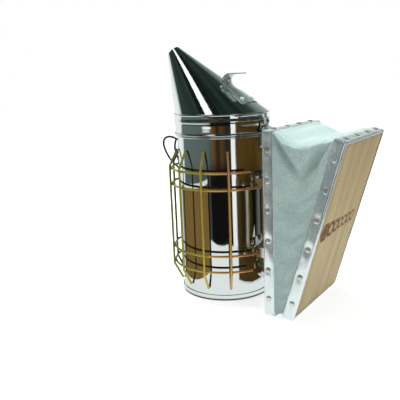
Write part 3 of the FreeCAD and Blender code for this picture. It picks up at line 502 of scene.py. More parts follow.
def rounded_rectangle(y_low, y_high, z_low, z_high, radius, counts):
    """Points round a rectangle with a fixed count per side and corner, whatever its size."""
    long_count, short_count, corner_count = counts
    centres = (
        (y_high - radius, z_low + radius, -90),
        (y_high - radius, z_high - radius, 0),
        (y_low + radius, z_high - radius, 90),
        (y_low + radius, z_low + radius, 180),
    )
    points = []
    for index, (cy, cz, start) in enumerate(centres):
        corner = []
        for k in range(corner_count):
            a = math.radians(start + 90 * k / (corner_count - 1))
            corner.append((cy + radius * math.cos(a), cz + radius * math.sin(a)))
        points.extend(corner)
        ny, nz, nstart = centres[(index + 1) % 4]
        a = math.radians(nstart)
        target = (ny + radius * math.cos(a), nz + radius * math.sin(a))
        count = long_count if index % 2 == 0 else short_count
        for k in range(1, count):
            f = k / count
            points.append(
                (corner[-1][0] * (1 - f) + target[0] * f, corner[-1][1] * (1 - f) + target[1] * f)
            )
    return np.array(points)


TACK_SPOTS = [(side * HALF_W, LENGTH * (k + 0.6) / 6.2) for k in range(6) for side in (1, -1)]
TACK_SPOTS += [(HALF_W * (2 * (k + 0.5) / 4 - 1), end) for k in range(4) for end in (0.0, LENGTH)]
TACK_SPOTS = np.array(TACK_SPOTS)
TACK_X = THICK / 2
TACK_HEAD_R, TACK_HEAD_HIGH, TACK_SHANK = 2.95, 1.5, 4.0
TIN = 0.45
TIN_BEND = 2.05  # outer radius where the tin turns over the board's outer face


def rim_normal(y, z):
    """Outwards from a board's rim, and whether that is on one of its long sides."""
    if abs(y) > HALF_W - 1.0:
        return np.array((0.0, math.copysign(1, y), 0.0)), True
    return np.array((0.0, 0.0, 1.0 if z > LENGTH / 2 else -1.0)), False


def edging(name, node, matrix, body, seed):
    """Thin tin folded round a board's edge: it bulges between the tacks and is dented at each."""
    counts = (92, 60, 4)
    quarter = np.radians((0, 15, 30, 45, 60, 75, 90))
    outer = [(-0.35, -1.5), (-0.35, -0.8), (-0.30, -0.3), (-0.05, 0.0)]
    outer += [(x, 0.0) for x in np.linspace(0.7, 7.6, 10)] + [(8.4, 0.24)]
    outer += [(9.0 + TIN_BEND * math.sin(a), -1.7 + TIN_BEND * math.cos(a)) for a in quarter]
    outer += [(THICK + 0.1, -2.2), (THICK, -2.8), (THICK, -3.2)]
    inner = [(THICK - TIN, o) for o in (-3.2, -2.8, -2.2)]
    inside = TIN_BEND - TIN
    inner += [(9.0 + inside * math.sin(a), -1.7 + inside * math.cos(a)) for a in quarter[::-1]]
    inner += [(8.4, -0.25)] + [(x, -TIN) for x in np.linspace(7.6, 0.7, 10)]
    inner += [(0.1, -TIN), (0.1, -0.8), (0.1, -1.5)]
    section = outer + inner
    rows = []
    for x, o in section:
        radius = max(1.3 + o, 0.06)
        loop = rounded_rectangle(-HALF_W - o, HALF_W + o, -o, LENGTH + o, radius, counts)
        rows.append(np.column_stack([np.full(len(loop), x), loop]))
    base = rounded_rectangle(-HALF_W, HALF_W, 0, LENGTH, 1.3, counts)
    verts = []
    for (x, o), row in zip(section, rows):
        for (_, y, z), (by, bz) in zip(row, base):
            near = np.hypot(by - TACK_SPOTS[:, 0], bz - TACK_SPOTS[:, 1]).min()
            corner = min(HALF_W - abs(by) + min(bz, LENGTH - bz), 14.0) / 14.0
            normal, on_side = rim_normal(by, bz)
            middle = math.sin(math.pi * min(max(x / THICK, 0.0), 1.0)) if o > -1.0 else 0.0
            radial = math.hypot(near, x - TACK_X)
            dent = bell(radial, 0, 5.2)
            pillow = (0.62 + 0.38 * wobble((by, bz, x), 13.0, seed)) * middle * (1 - dent) * corner
            crease = 0.22 * wobble((by * 1.2, bz, x * 2.0), 5.5, seed + 4) * middle * (1 - dent)
            shift = 1.7 * pillow + 0.6 * crease * corner - 0.04 * dent
            if o <= -2.0:  # the lip on the outer face, with an uneven edge
                edge = 0.5 * wobble((by, bz, 3.0), 8.0, seed + 9) - 0.35 * bell(near, 0, 5.0)
                depth = (-o - 1.7) / 1.5
                if on_side:
                    y -= math.copysign(edge * depth, by)
                else:
                    z -= normal[2] * edge * depth
                x_out = x + 0.12 * depth * wobble((by, bz, 8.0), 6.0, seed + 2)
            else:
                x_out = x if x > 0.6 else x + 0.12 * wobble((by, bz, 0.0), 9.0, seed + 5)
            verts.append((x_out, y + normal[1] * shift, z + normal[2] * shift))
    faces = grid_faces(len(section), len(base), wrap_rows=True, wrap_columns=True)
    piece(name, verts, faces, tin, body, "tin_edging", (node,), 55, matrix)


edging("back_tin_edging", "back_edge_strip", BACK, "pot", 1.3)
edging("front_tin_edging", "front_edge_strip", FRONT, "bellows_front", 6.8)


def dome(centre, normal, radius, height, shank, seed):
    """A nail or rivet: a hammered dome over its shank."""
    normal = np.asarray(normal, float) / np.linalg.norm(normal)
    first = np.cross(normal, (0.31, 0.87, 0.38))
    first /= np.linalg.norm(first)
    second = np.cross(normal, first)
    outline = [(0.42, -shank), (0.42, -0.25), (0.93, -0.2), (1.0, 0.0), (0.99, 0.16), (0.93, 0.42)]
    outline += [(0.80, 0.68), (0.60, 0.87), (0.36, 0.97), (0.12, 1.0)]
    sides = 20
    verts = []
    for share, rise in outline:
        for k in range(sides):
            a = 2 * math.pi * k / sides
            lift = rise if rise <= -0.25 else rise * height
            dint = 1 + 0.035 * wobble((k * 0.9, rise * 3, seed), 2.0, seed)
            out = share * radius * dint
            verts.append(centre + normal * lift + out * (math.cos(a) * first + math.sin(a) * second))
    return verts, closed_tube(len(outline), sides)


def tack_heads(name, node, matrix, body, seed):
    """Tacks with round heads through the tin and the hide into the board's edge."""
    parts = []
    for number, (y, z) in enumerate(TACK_SPOTS):
        out, _ = rim_normal(y, z)
        lean = np.array([wobble((number, k, 2.0), 0.7, seed + k) for k in range(3)]) * 0.16
        place = np.array((TACK_X + 0.5 * wobble((number, 5.0, 1.0), 0.7, seed), y, z)) + out * 0.12
        head = dome(place, out + lean, TACK_HEAD_R, TACK_HEAD_HIGH, TACK_SHANK, seed + number)
        parts.append(head)
    piece(name, *joined(parts), tack_metal, body, "fastener_steel", (node,), 60, matrix)


tack_heads("back_tacks", "back_edge_tacks", BACK, "pot", 2.0)
tack_heads("front_tacks", "front_edge_tacks", FRONT, "bellows_front", 40.0)


# ---- finger hook


def finger_hook():
    """A saddle plate riveted on the cone, its sides rolled up, narrowing into a curled finger rest."""
    under, sheet, curl = 0.05, 1.0, 7.3
    start, curl_start, tip = 17.0, 46.7, 14.5
    base_half, neck_half, tip_half = 17.0, 10.6, 4.4
    plate, rounding = 27.0, 3.0  # the plate's length, and how much of the tip is rounded
    mid = under + sheet / 2
    path = [(-s, mid, 0.0) for s in np.linspace(start, curl_start, 26)]
    centre = (-curl_start, mid + curl)
    sweep = math.pi - BACK_SLOPE
    for a in np.linspace(0, sweep, 22)[1:]:
        path.append((centre[0] - curl * math.sin(a), centre[1] - curl * math.cos(a), a))
    last = path[-1]
    heading = np.array((-math.cos(sweep), math.sin(sweep)))
    for run in np.linspace(0, tip, 9)[1:]:
        path.append((last[0] + heading[0] * run, last[1] + heading[1] * run, sweep))
    path = np.array(path)
    lengths = np.concatenate([[0], np.cumsum(np.hypot(*np.diff(path[:, :2], axis=0).T))])
    total = lengths[-1]
    rows, columns = [], 25
    for (x, z, a), s in zip(path, lengths):
        if s < plate:
            half = neck_half + (base_half - neck_half) * (1 - s / plate) ** 1.25
            half -= 1.4 * max(0.0, 1 - s / 1.4) ** 2
        else:
            half = neck_half - (neck_half - tip_half) * ((s - plate) / (total - plate)) ** 1.5
        if total - s < rounding:
            half *= math.sqrt(max(0.04, 1 - (1 - (total - s) / rounding) ** 2))
        up = np.array((math.sin(a), math.cos(a)))
        fit = max(0.0, 1 - s / 34.0)
        row = []
        for c in np.linspace(-1, 1, columns):
            roll = max(0.0, abs(c) - 0.80) / 0.20
            lift = 0.5 * roll**1.5 * min(1.0, s / 4.0)
            lift *= max(0.0, min(1.0, (30.0 - s) / 8.0))
            sag = -3.6 * fit * (c * half / base_half) ** 2
            flat_tip = min(1.0, max(0.0, (total - tip - s) / 10.0))
            crown = -1.7 * (1 - fit) * c * c * flat_tip
            h = lift + sag + crown + 0.55 * fit
            row.append((x + up[0] * h, c * half, z + up[1] * h, up))
        rows.append(row)
    top, bottom = [], []
    for row in rows:
        for x, y, z, up in row:
            top.append((x + up[0] * sheet / 2, y, z + up[1] * sheet / 2))
            bottom.append((x - up[0] * sheet / 2, y, z - up[1] * sheet / 2))
    n, count = len(rows), len(top)
    faces = grid_faces(n, columns) + grid_faces(n, columns, start=count)
    for i in range(n - 1):
        for j in (0, columns - 1):
            a, b = i * columns + j, (i + 1) * columns + j
            faces.append((a, b, b + count, a + count))
    for j in range(columns - 1):
        for i in (0, n - 1):
            a, b = i * columns + j, i * columns + j + 1
            faces.append((a, b, b + count, a + count))
    piece(
        "finger_hook_plate", top + bottom, faces, satin, "lid", "mirror_steel", ("finger_hook",), 40, HOOK
    )


finger_hook()


def hook_rivets():
    """The two bright rivets through the hook's plate and the cone."""
    radius, high, shank = 2.6, 1.7, 2.6
    parts = []
    for side in (1, -1):
        centre, normal = np.array((-23.5, side * 10.0, 0.49)), np.array((0.0, side * 0.20, 1.0))
        parts.append(dome(centre, normal, radius, high, shank, 3.0 + side))
    piece(
        "hook_rivet_domes", *joined(parts), bright_rivet, "lid", "mirror_steel", ("hook_rivets",), 60, HOOK
    )


hook_rivets()


# ---- collar and hanging loop


def collar():
    """The lid's ring: rolled bead, a soft ridge below it, a straight band and a rolled hem."""
    def bead(middle, last, step):
        angles = np.radians(range(10, last, step))
        return [(51.95 + 1.1 * math.sin(a), middle - 1.1 * math.cos(a)) for a in angles]

    outline = [(51.0, 178.2), (51.9, 178.2), *bead(179.3, 171, 16)]
    outline += [(51.75, 180.6), (51.62, 181.4), (51.6, 183.0), (51.6, 186.0), (51.6, 189.0)]
    outline += [(51.66, 190.2), (51.9, 191.2), (52.25, 192.0), (52.45, 192.8), (52.35, 193.6)]
    outline += [(52.0, 194.6), (51.75, 195.8), (51.66, 197.0), (51.7, 198.0), (51.85, 198.7)]
    outline += [*bead(199.9, 181, 17), (51.0, 201.0)]
    count = 320
    verts = []
    for k in range(count):
        a = 2 * math.pi * k / count
        wave = 1 + 0.0007 * wobble((60 * math.cos(a), 60 * math.sin(a), 0), 30.0, 3.0)
        verts.extend((r * wave * math.cos(a), r * wave * math.sin(a), z) for r, z in outline)
    faces = grid_faces(count, len(outline), wrap_rows=True, wrap_columns=True)
    piece("lid_collar_rolled", verts, faces, mirror, "lid", "mirror_steel", ("lid_collar",), 50)


collar()


def hanging_loop():
    """The loop of wire that hangs the smoker, one end welded on each side of its throat."""
    weld = -(HOOP_R + 2 * 1.25 + 0.05)
    outer = [
        (weld, 124), (weld - 0.2, 131), (weld - 4, 136.5), (-72, 142), (-77.5, 149), (-81.6, 156.5),
        (-83.2, 163), (-81.2, 168.6), (-75.5, 171.2), (-68.5, 170.6), (-62.5, 168.4),
    ]
    inner = [
        (weld, 121), (weld - 0.1, 130), (weld - 0.4, 138), (-63.2, 147), (-66, 154), (-66.6, 161),
        (-64.6, 168),
    ]
    parts = [tube(smooth_path([(x, 0, z) for x, z in path], 90), 1.2) for path in (outer, inner)]
    piece("hanging_loop", *joined(parts), wire, "pot", "guard_wire", ("hanging_hook",), 50)


hanging_loop()


# ---- seams, welds and spring


def cone_point(angle, share, lift=0.0):
    """A point on the cone's outside, share 0 at the collar and 1 at the mouth."""
    radius = CONE_R + lift
    base = np.array((radius * math.cos(angle), radius * math.sin(angle), COLLAR_TOP))
    across = np.array((math.cos(MOUTH_TILT), 0, math.sin(MOUTH_TILT)))
    spoke = math.cos(angle) * across + math.sin(angle) * np.array((0, 1, 0))
    return base * (1 - share) + (MOUTH + (MOUTH_R + lift) * spoke) * share


def seam(name, point, rows, body):
    """A folded lock seam: a low flat ridge along a sheet's joint."""
    profile = ((-1.0, -0.15), (-0.94, 0.34), (-0.7, 0.46), (0.55, 0.46), (0.8, 0.40), (1.0, -0.15))
    verts = []
    for k in range(rows):
        verts.extend(point(k / (rows - 1), across, height) for across, height in profile)
    piece(name, verts, closed_tube(rows, len(profile)), mirror, body, "mirror_steel", sharp=50)


SEAM_ANGLE = math.radians(67.7)
seam(
    "pot_side_seam",
    lambda t, across, height: (
        (POT_R + height) * math.cos(SEAM_ANGLE + across * 2.6 / POT_R),
        (POT_R + height) * math.sin(SEAM_ANGLE + across * 2.6 / POT_R),
        6.2 + t * 169.0,
    ),
    60,
    "pot",
)
seam(
    "cone_side_seam",
    lambda t, across, height: cone_point(
        math.radians(112) + across * 2.4 / (CONE_R * (1 - t) + MOUTH_R * t), 0.02 + 0.97 * t, height
    ),
    60,
    "lid",
)


def weld_nuggets():
    """The squashed spots where the guard's bars are resistance welded to its hoops."""
    first_bar, bar_step, hoop_offsets = 53.7, 28, (35.6, 53.3, -35.6, -53.3)
    rings, sides = 7, 12
    parts = []
    for number in range(5):
        for side in (1, -1):
            angle = math.radians(side * (first_bar + bar_step * number))
            for offset in hoop_offsets:
                out = np.array((math.cos(angle), math.sin(angle), 0))
                along = np.array((-math.sin(angle), math.cos(angle), 0))
                up = np.array((0, 0, 1.0))
                middle = out * (HOOP_R + BAR_R) / 2 + up * (GUARD_Z + offset)
                verts = []
                for i in range(1, rings + 1):
                    for k in range(sides):
                        lat, lon = math.pi * i / (rings + 1), 2 * math.pi * k / sides
                        ripple = 1 + 0.12 * wobble((angle * 9 + i, offset + k, lon), 2.0, number)
                        verts.append(
                            middle
                            + up * (1.75 * math.cos(lat) * ripple)
                            + along * (1.55 * math.sin(lat) * math.cos(lon) * ripple)
                            + out * (0.95 * math.sin(lat) * math.sin(lon))
                        )
                parts.append((verts, closed_tube(rings, sides)))
    piece("guard_weld_spots", *joined(parts), wire, "pot", "guard_wire")


weld_nuggets()


def spring():
    """The coil between the boards, its end turns wound close so that they lie flat."""
    radius, gauge = 14.0, 0.9
    tilt = math.pi / 2 + OPEN / 2
    along = np.array((math.sin(tilt), 0, math.cos(tilt)))
    side = np.array((0, 1.0, 0))
    up = np.cross(along, side)
    points = []
    turns, start, length = 6.6, np.array((92.8, 0, 102.0)), 29.0
    flat = 0.9  # the share of a turn wound flat at each end
    for t in np.linspace(0, 1, 260):
        a, turned = 2 * math.pi * turns * t, t * turns
        free = min(max((turned - flat) / (turns - 2 * flat), 0.0), 1.0)
        run = 0.1 + (length - 2.0) * free + gauge * (min(turned, flat) + max(0, turned - turns + flat))
        wide = radius * (1 - 0.10 * math.sin(math.pi * t))
        points.append(start + along * run + wide * (math.cos(a) * side + math.sin(a) * up))
    coil = piece(
        "bellows_coil", *tube(points, gauge, 10), spring_metal, "pot", "spring_steel", ("bellows_spring",)
    )
    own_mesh(coil)


spring()


# ---- bellows hide

LEATHER_HALF, LEATHER_LOW, LEATHER_HIGH = 58.3, 0.3, 184.7
LEATHER_BACK_X = BACK_X + 0.1
LEATHER_STEPS = 30
LEATHER_THICK = 1.1
CLOTH_FRAMES, CLOTH_CAP = 18, 3.5


def smoothstep(a, b, x):
    f = min(max((x - a) / (b - a), 0.0), 1.0)
    return f * f * (3 - 2 * f)


def side_inset(share, height):
    """How far a side panel is drawn in, across the fold (0 to 1) and up the board (0 to 1)."""
    gap = 9.5 + 41.0 * height
    hollow = 0.115 * gap * math.sin(math.pi * share) ** 0.8
    apex = 0.77
    hollow += 1.5 * smoothstep(0.48, apex, height) * bell(share, 0.58, 0.13)
    if height > apex:
        rise = (height - apex) / (1 - apex)
        left, right = 0.56 - 0.62 * rise, 0.58 + 0.29 * rise
        depth = 5.6 * smoothstep(-0.1, 0.45, rise) * (1 - 0.8 * smoothstep(0.72, 0.95, rise))
        valley = 0.85 * bell(share, left, 0.10)
        valley += bell(share, right, 0.085)
        inside = smoothstep(left, left + 0.16, share) * (1 - smoothstep(right - 0.14, right, share))
        hollow += depth * valley - 5.5 * inside * smoothstep(0.0, 0.4, rise)
    return hollow


def top_drop(share, across):
    """How far the top panel hangs below the straight line between the boards, -1 near to 1 far."""
    near = 6.0 * bell(share, 0.36, 0.21) * smoothstep(-0.3, 1.0, -across)
    far = 5.5 * bell(share, 0.50, 0.19) * smoothstep(-0.8, 0.9, across)
    hump = -3.4 * bell(share, 0.86, 0.085) * (0.7 + 0.3 * across)
    plateau = -1.6 * bell(share, 0.20, 0.16) * (1 - across * across)
    edge = smoothstep(0.0, 0.08, share) * (1 - smoothstep(0.95, 1.0, share))
    return (near + far + hump + plateau) * edge


def hide_grid():
    """Loops of points round the bellows from the back board to the front one."""
    counts = (58, 32, 9)
    back_foot, front_foot = np.array((LEATHER_BACK_X, 0, 2.0)), np.array((HINGE_X - 0.1, 0, HINGE_Z))
    front_rise = np.array((math.sin(OPEN), 0, math.cos(OPEN)))
    rows = []
    for k in range(LEATHER_STEPS + 1):
        v = k / LEATHER_STEPS
        bulge = math.sin(math.pi * v)
        radius = 1.2 + 11.0 * bulge**0.6
        loop = rounded_rectangle(
            -LEATHER_HALF, LEATHER_HALF, LEATHER_LOW, LEATHER_HIGH, radius, counts
        )
        base = back_foot * (1 - v) + front_foot * v
        rise = np.array((0, 0, 1.0)) * (1 - v) + front_rise * v
        row = []
        size = len(loop)
        for i, (y, s) in enumerate(loop):
            tangent = loop[(i + 1) % size] - loop[i - 1]
            normal = np.array((tangent[1], -tangent[0])) / np.linalg.norm(tangent)
            height = (s - LEATHER_LOW) / (LEATHER_HIGH - LEATHER_LOW)
            inset = side_inset(v, height) * abs(normal[0]) ** 1.5
            drop = top_drop(v, y / LEATHER_HALF) * max(normal[1], 0.0) ** 1.2
            point = base + rise * s + np.array((0, y, 0))
            point[1] -= math.copysign(inset, y) * smoothstep(0.0, 12.0, abs(y))
            point -= rise * drop
            amount = 0.9 * bulge * (0.3 + 0.7 * height)
            point[1] += amount * wobble(point, 26.0, 2.0) * normal[0]
            point[2] += amount * wobble(point, 22.0, 5.0) * normal[1]
            pucker = 0.55 * bell(min(v, 1 - v), 0.07, 0.05)
            near = np.hypot(y - TACK_SPOTS[:, 0], s - TACK_SPOTS[:, 1]).min()
            point[1] += pucker * bell(near, 0, 9.0) * normal[0] * -1.2
            row.append(point)
        rows.append(row)
    return np.array(rows)


def hide_mesh(points):
    rows, columns = points.shape[:2]
    return mesh_from("hide", points.reshape(-1, 3), grid_faces(rows, columns, wrap_columns=True))


def relax(points):
    """Cloth: the hide hangs from both boards, a little too long for the gap, and folds in."""
    rows, columns = points.shape[:2]
    cloth_object = linked("hide_cloth", hide_mesh(points))
    pins = cloth_object.vertex_groups.new(name="pins")
    edge = list(range(columns)) + list(range((rows - 1) * columns, rows * columns))
    pins.add(edge, 1.0, "REPLACE")
    modifier = cloth_object.modifiers.new("cloth", "CLOTH")
    settings = modifier.settings
    settings.vertex_group_mass = "pins"
    settings.mass, settings.quality = 0.25, 8
    settings.tension_stiffness = settings.compression_stiffness = 30
    settings.shear_stiffness, settings.bending_stiffness = 12, 2.0
    settings.shrink_min = settings.shrink_max = -0.035
    settings.use_pressure, settings.uniform_pressure_force = True, -0.35
    settings.tension_damping = settings.compression_damping = 12
    modifier.collision_settings.use_collision = False
    modifier.point_cache.frame_start, modifier.point_cache.frame_end = 1, CLOTH_FRAMES
    for number in range(1, CLOTH_FRAMES + 1):
        scene.frame_set(number)
    settled = cloth_object.evaluated_get(bpy.context.evaluated_depsgraph_get())
    moved = np.array([v.co for v in settled.data.vertices]) / MM
    scene.frame_set(1)
    bpy.data.objects.remove(cloth_object)
    flat = points.reshape(-1, 3)
    shift = moved - flat
    size = np.linalg.norm(shift, axis=1)[:, None]
    capped = shift * np.minimum(1.0, CLOTH_CAP / np.maximum(size, 1e-9))
    return (flat + capped).reshape(points.shape)


def leather():
    """The relaxed hide, cut at the hinge into the half that stays and the half that folds in."""
    points = hide_grid()
    points = relax(points)
    mesh = hide_mesh(points)
    work = bmesh.new()
    work.from_mesh(mesh)
    bmesh.ops.recalc_face_normals(work, faces=work.faces)
    work.to_mesh(mesh)
    work.free()
    full = applied(mesh, "SUBSURF", levels=1, render_levels=1)
    for name, keep_high in (("bellows_hide_cuff", False), ("bellows_hide_fold", True)):
        work = bmesh.new()
        work.from_mesh(full)
        bmesh.ops.bisect_plane(
            work,
            geom=work.verts[:] + work.edges[:] + work.faces[:],
            plane_co=(HIDE_CUT_X * MM, 0, 0),
            plane_no=(1, 0, 0),
            clear_inner=keep_high,
            clear_outer=not keep_high,
        )
        bmesh.ops.remove_doubles(work, verts=work.verts, dist=2e-5)
        sheet = bpy.data.meshes.new(name)
        work.to_mesh(sheet)
        work.free()
        half = applied(sheet, "SOLIDIFY", thickness=LEATHER_THICK * MM, offset=-1.0)
        within = max if keep_high else min  # the rim's thickness may not lean over the cut
        for vert in half.vertices:
            vert.co.x = within(vert.co.x, HIDE_CUT_X * MM)
        obj = finished(name, half, hide, "pot", ("bellows_leather",), 50)
        if keep_high:
            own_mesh(obj)


leather()


# ---- studio


def emission(name, colour, strength=1.0):
    material = bpy.data.materials.new(name)
    material.use_nodes = True
    tree = material.node_tree
    tree.nodes.clear()
    glow = add(tree, "Emission", Color=(*colour, 1.0), Strength=strength)
    out = add(tree, "OutputMaterial")
    tree.links.new(glow.outputs[0], out.inputs["Surface"])
    return material, tree, glow


def show(tree, shader):
    """The shader takes over a material's surface."""
    out = next(n for n in tree.nodes if n.type == "OUTPUT_MATERIAL")
    tree.links.new(shader.outputs[0], out.inputs["Surface"])


def only_in_mirrors(name, mesh, material):
    mesh.materials.append(material)
    obj = linked(name, mesh)
    obj.visible_camera = obj.visible_diffuse = obj.visible_shadow = False
    obj.visible_transmission = obj.visible_volume_scatter = False


def card(name, corners, colour, strength=1.0, grain=False):
    """A painted reflection: a glowing card that only mirrors see, in place of a studio flag or reflector.
    """
    mesh = mesh_from(name, corners, [tuple(range(len(corners)))])
    material, tree, glow = emission(name, colour, strength)
    if grain:
        place = add(tree, "TexCoord").outputs["Object"]
        fibre = noise_at(tree, place, 1.0, stretch=(300, 300, 30), detail=4.0)
        low, high = (tuple(c * share for c in colour) for share in (0.82, 1.1))
        tree.links.new(ramp(tree, fibre, [(0.3, low), (0.7, high)]), glow.inputs["Color"])
    only_in_mirrors(name, mesh, material)


def upright(name, a, b, low, high, colour, grain=False):
    card(name, [(*a, low), (*b, low), (*b, high), (*a, high)], colour, grain=grain)


# Painted reflections: the glowing cards below only show in mirrors, as the studio's floor sheet, boards,
# lights, dark flags and glints.
WHITE, BRIGHT, PALE = (1.0, 1.0, 1.0), (0.95, 0.98, 0.97), (0.92, 0.96, 0.95)
SHEET = [
    (-5, -276), (150, -208), (225, -110), (300, 30), (220, 125), (60, 230), (-200, 900), (-900, 900),
    (-620, 120), (-430, -170), (-160, -300),
]
card("sheet_in_mirrors", [(x, y, -0.4) for x, y in SHEET], (0.86, 0.90, 0.89))
upright("tan_board_reflector", (-5, -142), (-93, -20), 1, 112, (0.205, 0.128, 0.040), grain=True)
upright("tan_board_rim", (-5, -142), (-93, -20), 112, 118, (0.75, 0.80, 0.80))
upright("pale_side_reflector", (-93, -20), (-118, 22), 1, 118, (0.55, 0.66, 0.64))
card(
    "white_reflector",
    [(760, -620, -420), (1000, -330, -420), (965, -400, 330), (752, -628, 330)],
    WHITE,
)
card(
    "overhead_strip",
    [(-640, 150, 1150), (-120, -640, 1150), (60, -540, 1150), (-420, 260, 1150)],
    WHITE,
    1.3,
)
card(
    "overhead_flag",
    [(-860, 60, 1160), (-240, -860, 1160), (260, -480, 1160), (-300, 400, 1160)],
    (0.006, 0.010, 0.009),
)
GLINT = np.linspace(0, 5.9, 16)
card(
    "collar_glint_left",
    [(-28 + 66 * math.cos(a), -341 - 5 * math.cos(a), 154 + 5.2 * math.sin(a)) for a in GLINT],
    WHITE,
)
upright("collar_glint_right", (305, -165), (343, -34), 154, 158.5, (0.85, 0.86, 0.84))
upright("collar_patch", (283, 170), (240, 228), 150, 160, (0.36, 0.40, 0.28))
card("board_shade_wedge", [(78.1, -17, 45), (78.1, -1, 45), (78.1, -5, 73)], (0.42, 0.50, 0.45))
card(
    "front_top_flag", [(98, 0, 231), (134, 0, 231), (134, 160, 231), (98, 160, 231)], (0.17, 0.22, 0.23)
)


def board_shade():
    """Between the pot and the back board the mirror shows soft dark and light upright bands."""
    plane, near, far, low, high = 78.3, -47, 32, 42, 121
    corners = [(plane, near, low), (plane, far, low), (plane, far, high), (plane, near, high)]
    mesh = mesh_from("board_shade", corners, [(0, 1, 2, 3)])
    material, tree, glow = emission("board_shade", (0, 0, 0))
    spot = add(tree, "TexCoord").outputs["Generated"]
    split = add(tree, "SeparateXYZ", Vector=spot)
    sway = noise_at(tree, spot, 4.0, stretch=(1, 5, 0.7), detail=3.0)
    across = maths(tree, "ADD", split.outputs[1], maths(tree, "MULTIPLY_ADD", sway, 0.10, -0.05))
    bands = ramp(
        tree, across,
        [
            (0.00, (0.040, 0.028, 0.007)), (0.12, (0.020, 0.016, 0.007)),
            (0.22, (0.030, 0.024, 0.010)), (0.27, (0.42, 0.38, 0.28)), (0.31, (0.26, 0.23, 0.16)),
            (0.36, (0.045, 0.032, 0.010)), (0.45, (0.030, 0.022, 0.008)),
            (0.49, (0.004, 0.004, 0.003)), (0.60, (0.006, 0.006, 0.005)),
            (0.70, (0.10, 0.11, 0.09)), (0.78, (0.15, 0.17, 0.14)), (0.86, (0.008, 0.008, 0.006)),
            (1.00, (0.020, 0.014, 0.005)),
        ],
    )
    tree.links.new(bands, glow.inputs["Color"])
    sides = ramp(tree, split.outputs[1], grey((0.0, 0.0), (0.06, 1.0), (0.92, 1.0), (1.0, 0.0)))
    ends = ramp(tree, split.outputs[2], grey((0.0, 0.0), (0.16, 1.0), (0.93, 1.0), (1.0, 0.0)))
    cover = maths(tree, "MULTIPLY", sides, ends)
    show(tree, mix_shaders(tree, cover, add(tree, "BsdfTransparent"), glow))
    only_in_mirrors("board_shade", mesh, material)


board_shade()


def build_world():
    """Pale surroundings for the eye and the diffuse light, and a studio room for the mirrors."""
    world = bpy.data.worlds.new("studio")
    scene.world = world
    world.use_nodes = True
    tree = world.node_tree
    tree.nodes.clear()
    direction = add(tree, "TexCoord").outputs["Generated"]
    split = add(tree, "SeparateXYZ", Vector=direction)
    x, y, z = split.outputs[0], split.outputs[1], split.outputs[2]
    turn = maths(tree, "MULTIPLY_ADD", maths(tree, "ARCTAN2", y, x), 0.5 / math.pi, 0.5)

    def round_horizon(stops):
        """Colours at angles in degrees from +X."""
        return ramp(tree, turn, [((degrees + 180) / 360, colour) for degrees, colour in stops])

    ring = round_horizon(
        [
            (-180, PALE), (-174, (0.13, 0.17, 0.16)), (-100, (0.10, 0.135, 0.125)),
            (-88, (0.07, 0.085, 0.08)), (-84, (0.16, 0.075, 0.02)), (-72, (0.02, 0.015, 0.012)),
            (-62, (0.10, 0.05, 0.015)), (-50, (0.02, 0.02, 0.02)), (-17, (0.05, 0.04, 0.03)),
            (20, (0.05, 0.055, 0.045)), (52, (0.10, 0.12, 0.11)), (60, (0.85, 0.90, 0.88)),
            (66, (0.16, 0.19, 0.18)), (76, (0.18, 0.22, 0.21)), (84, BRIGHT),
            (126, BRIGHT), (130, (0.30, 0.36, 0.34)), (137, (0.35, 0.41, 0.39)),
            (142, BRIGHT), (180, PALE),
        ],
    )
    below = round_horizon(
        [
            (-180, PALE), (-174, (0.10, 0.13, 0.12)), (-98, (0.07, 0.09, 0.085)),
            (-90, (0.006, 0.006, 0.006)), (-20, (0.006, 0.006, 0.006)), (50, (0.05, 0.06, 0.055)),
            (77, (0.05, 0.07, 0.065)), (86, PALE), (180, PALE),
        ],
    )
    low = remap(tree, z, -0.17, -0.145)
    room = mix(tree, low, below, ring)
    # the part of it behind the lid is greyer higher up
    behind_lid = round_horizon(
        [(-180, (0.70, 0.77, 0.75)), (-170, (1.0, 1.0, 1.0)), (78, (1.0, 1.0, 1.0)),
         (88, (0.38, 0.46, 0.43)), (136, (0.38, 0.46, 0.43)), (150, (0.66, 0.74, 0.72)),
         (180, (0.70, 0.77, 0.75))],
    )
    high = remap(tree, z, 0.10, 0.30)
    room = mix(tree, high, room, behind_lid, "MULTIPLY")
    # above the backdrop the room is dark
    away = maths(tree, "MULTIPLY_ADD", x, -0.56, maths(tree, "MULTIPLY", y, 0.83))
    behind = remap(tree, away, 0.44, 0.68)
    early = remap(tree, z, 0.03, 0.26)
    late = remap(tree, z, 0.30, 0.77)
    rise = maths(tree, "ADD", maths(tree, "MULTIPLY", late, behind),
                 maths(tree, "MULTIPLY", early, maths(tree, "SUBTRACT", 1.0, behind)))
    ceiling = ramp(
        tree, noise_at(tree, direction, 2.6, detail=3.0),
        [(0.36, (0.009, 0.016, 0.013)), (0.64, (0.038, 0.060, 0.052))],
    )
    room = mix(tree, rise, room, ceiling)
    mirrors = add(tree, "Background", Color=room, Strength=1.0)
    sky = remap(tree, z, -0.3, 1.0, 0.34, 0.95)
    soft = add(tree, "Background", Color=(0.97, 1.0, 0.995, 1.0), Strength=sky)
    seen = add(tree, "Background", Color=(1.0, 1.0, 1.0, 1.0), Strength=1.0)
    path = add(tree, "LightPath")
    unseen = mix_shaders(tree, path.outputs["Is Glossy Ray"], soft, mirrors)
    surface = mix_shaders(tree, path.outputs["Is Camera Ray"], unseen, seen)
    out = add(tree, "OutputWorld")
    tree.links.new(surface.outputs[0], out.inputs["Surface"])


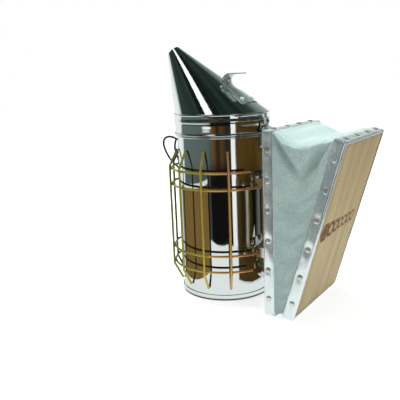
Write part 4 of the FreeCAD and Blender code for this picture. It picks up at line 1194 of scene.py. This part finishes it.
def build_floor():
    count, reach, level = 64, 6000.0, -0.6
    turns = [2 * math.pi * k / count for k in range(count)]
    corners = [(reach * math.cos(a), reach * math.sin(a), level) for a in turns]
    mesh = mesh_from("floor", corners, [tuple(range(count))])
    material, tree, glow = emission("pale_floor", WHITE)
    seen = add(tree, "LightPath").outputs["Is Camera Ray"]
    # a little dimmer to the camera, so that its far edge merges with the background
    strength = remap(tree, seen, to_low=0.72, to_high=0.70)
    tree.links.new(strength, glow.inputs["Strength"])
    matt = add(tree, "BsdfDiffuse", Color=(0.42, 0.43, 0.43, 1.0))
    both = add(tree, "AddShader")
    tree.links.new(glow.outputs[0], both.inputs[0])
    tree.links.new(matt.outputs[0], both.inputs[1])
    show(tree, both)
    mesh.materials.append(material)
    obj = linked("floor", mesh)
    obj.visible_glossy = False


def area_light(name, place, target, size, power, colour=(1, 1, 1)):
    light = bpy.data.lights.new(name, "AREA")
    light.shape, light.size, light.energy, light.color = "SQUARE", size, power, colour
    obj = linked(name, light)
    obj.location = Vector(place)
    obj.rotation_euler = (Vector(target) - Vector(place)).to_track_quat("-Z", "Y").to_euler()
    obj.visible_glossy = False


build_world()
build_floor()
area_light("key", (-0.3, 0.25, 1.5), (0.05, 0, 0.1), 0.7, 46)
area_light("fill", (1.5, -0.9, 0.7), (0.1, 0, 0.1), 0.8, 7, (1.0, 0.97, 0.93))

# The camera stands where the photographer's did.
CAMERA_AT = Vector((320.8, -521.1, 237.2)) * MM
FORWARD, UP = Vector((-0.5495, 0.8072, -0.2157)), Vector((-0.0878, 0.2010, 0.9757))
camera_data = bpy.data.cameras.new("camera")
camera_data.sensor_width, camera_data.lens = 36.0, 49.54
camera = linked("camera", camera_data)
right = FORWARD.cross(UP).normalized()
up = right.cross(FORWARD).normalized()
turn = Matrix((right, up, -FORWARD.normalized())).transposed()
camera.matrix_world = Matrix.Translation(CAMERA_AT) @ turn.to_4x4()
scene.camera = camera
scene.view_settings.view_transform = "Standard"
scene.view_settings.look = "None"
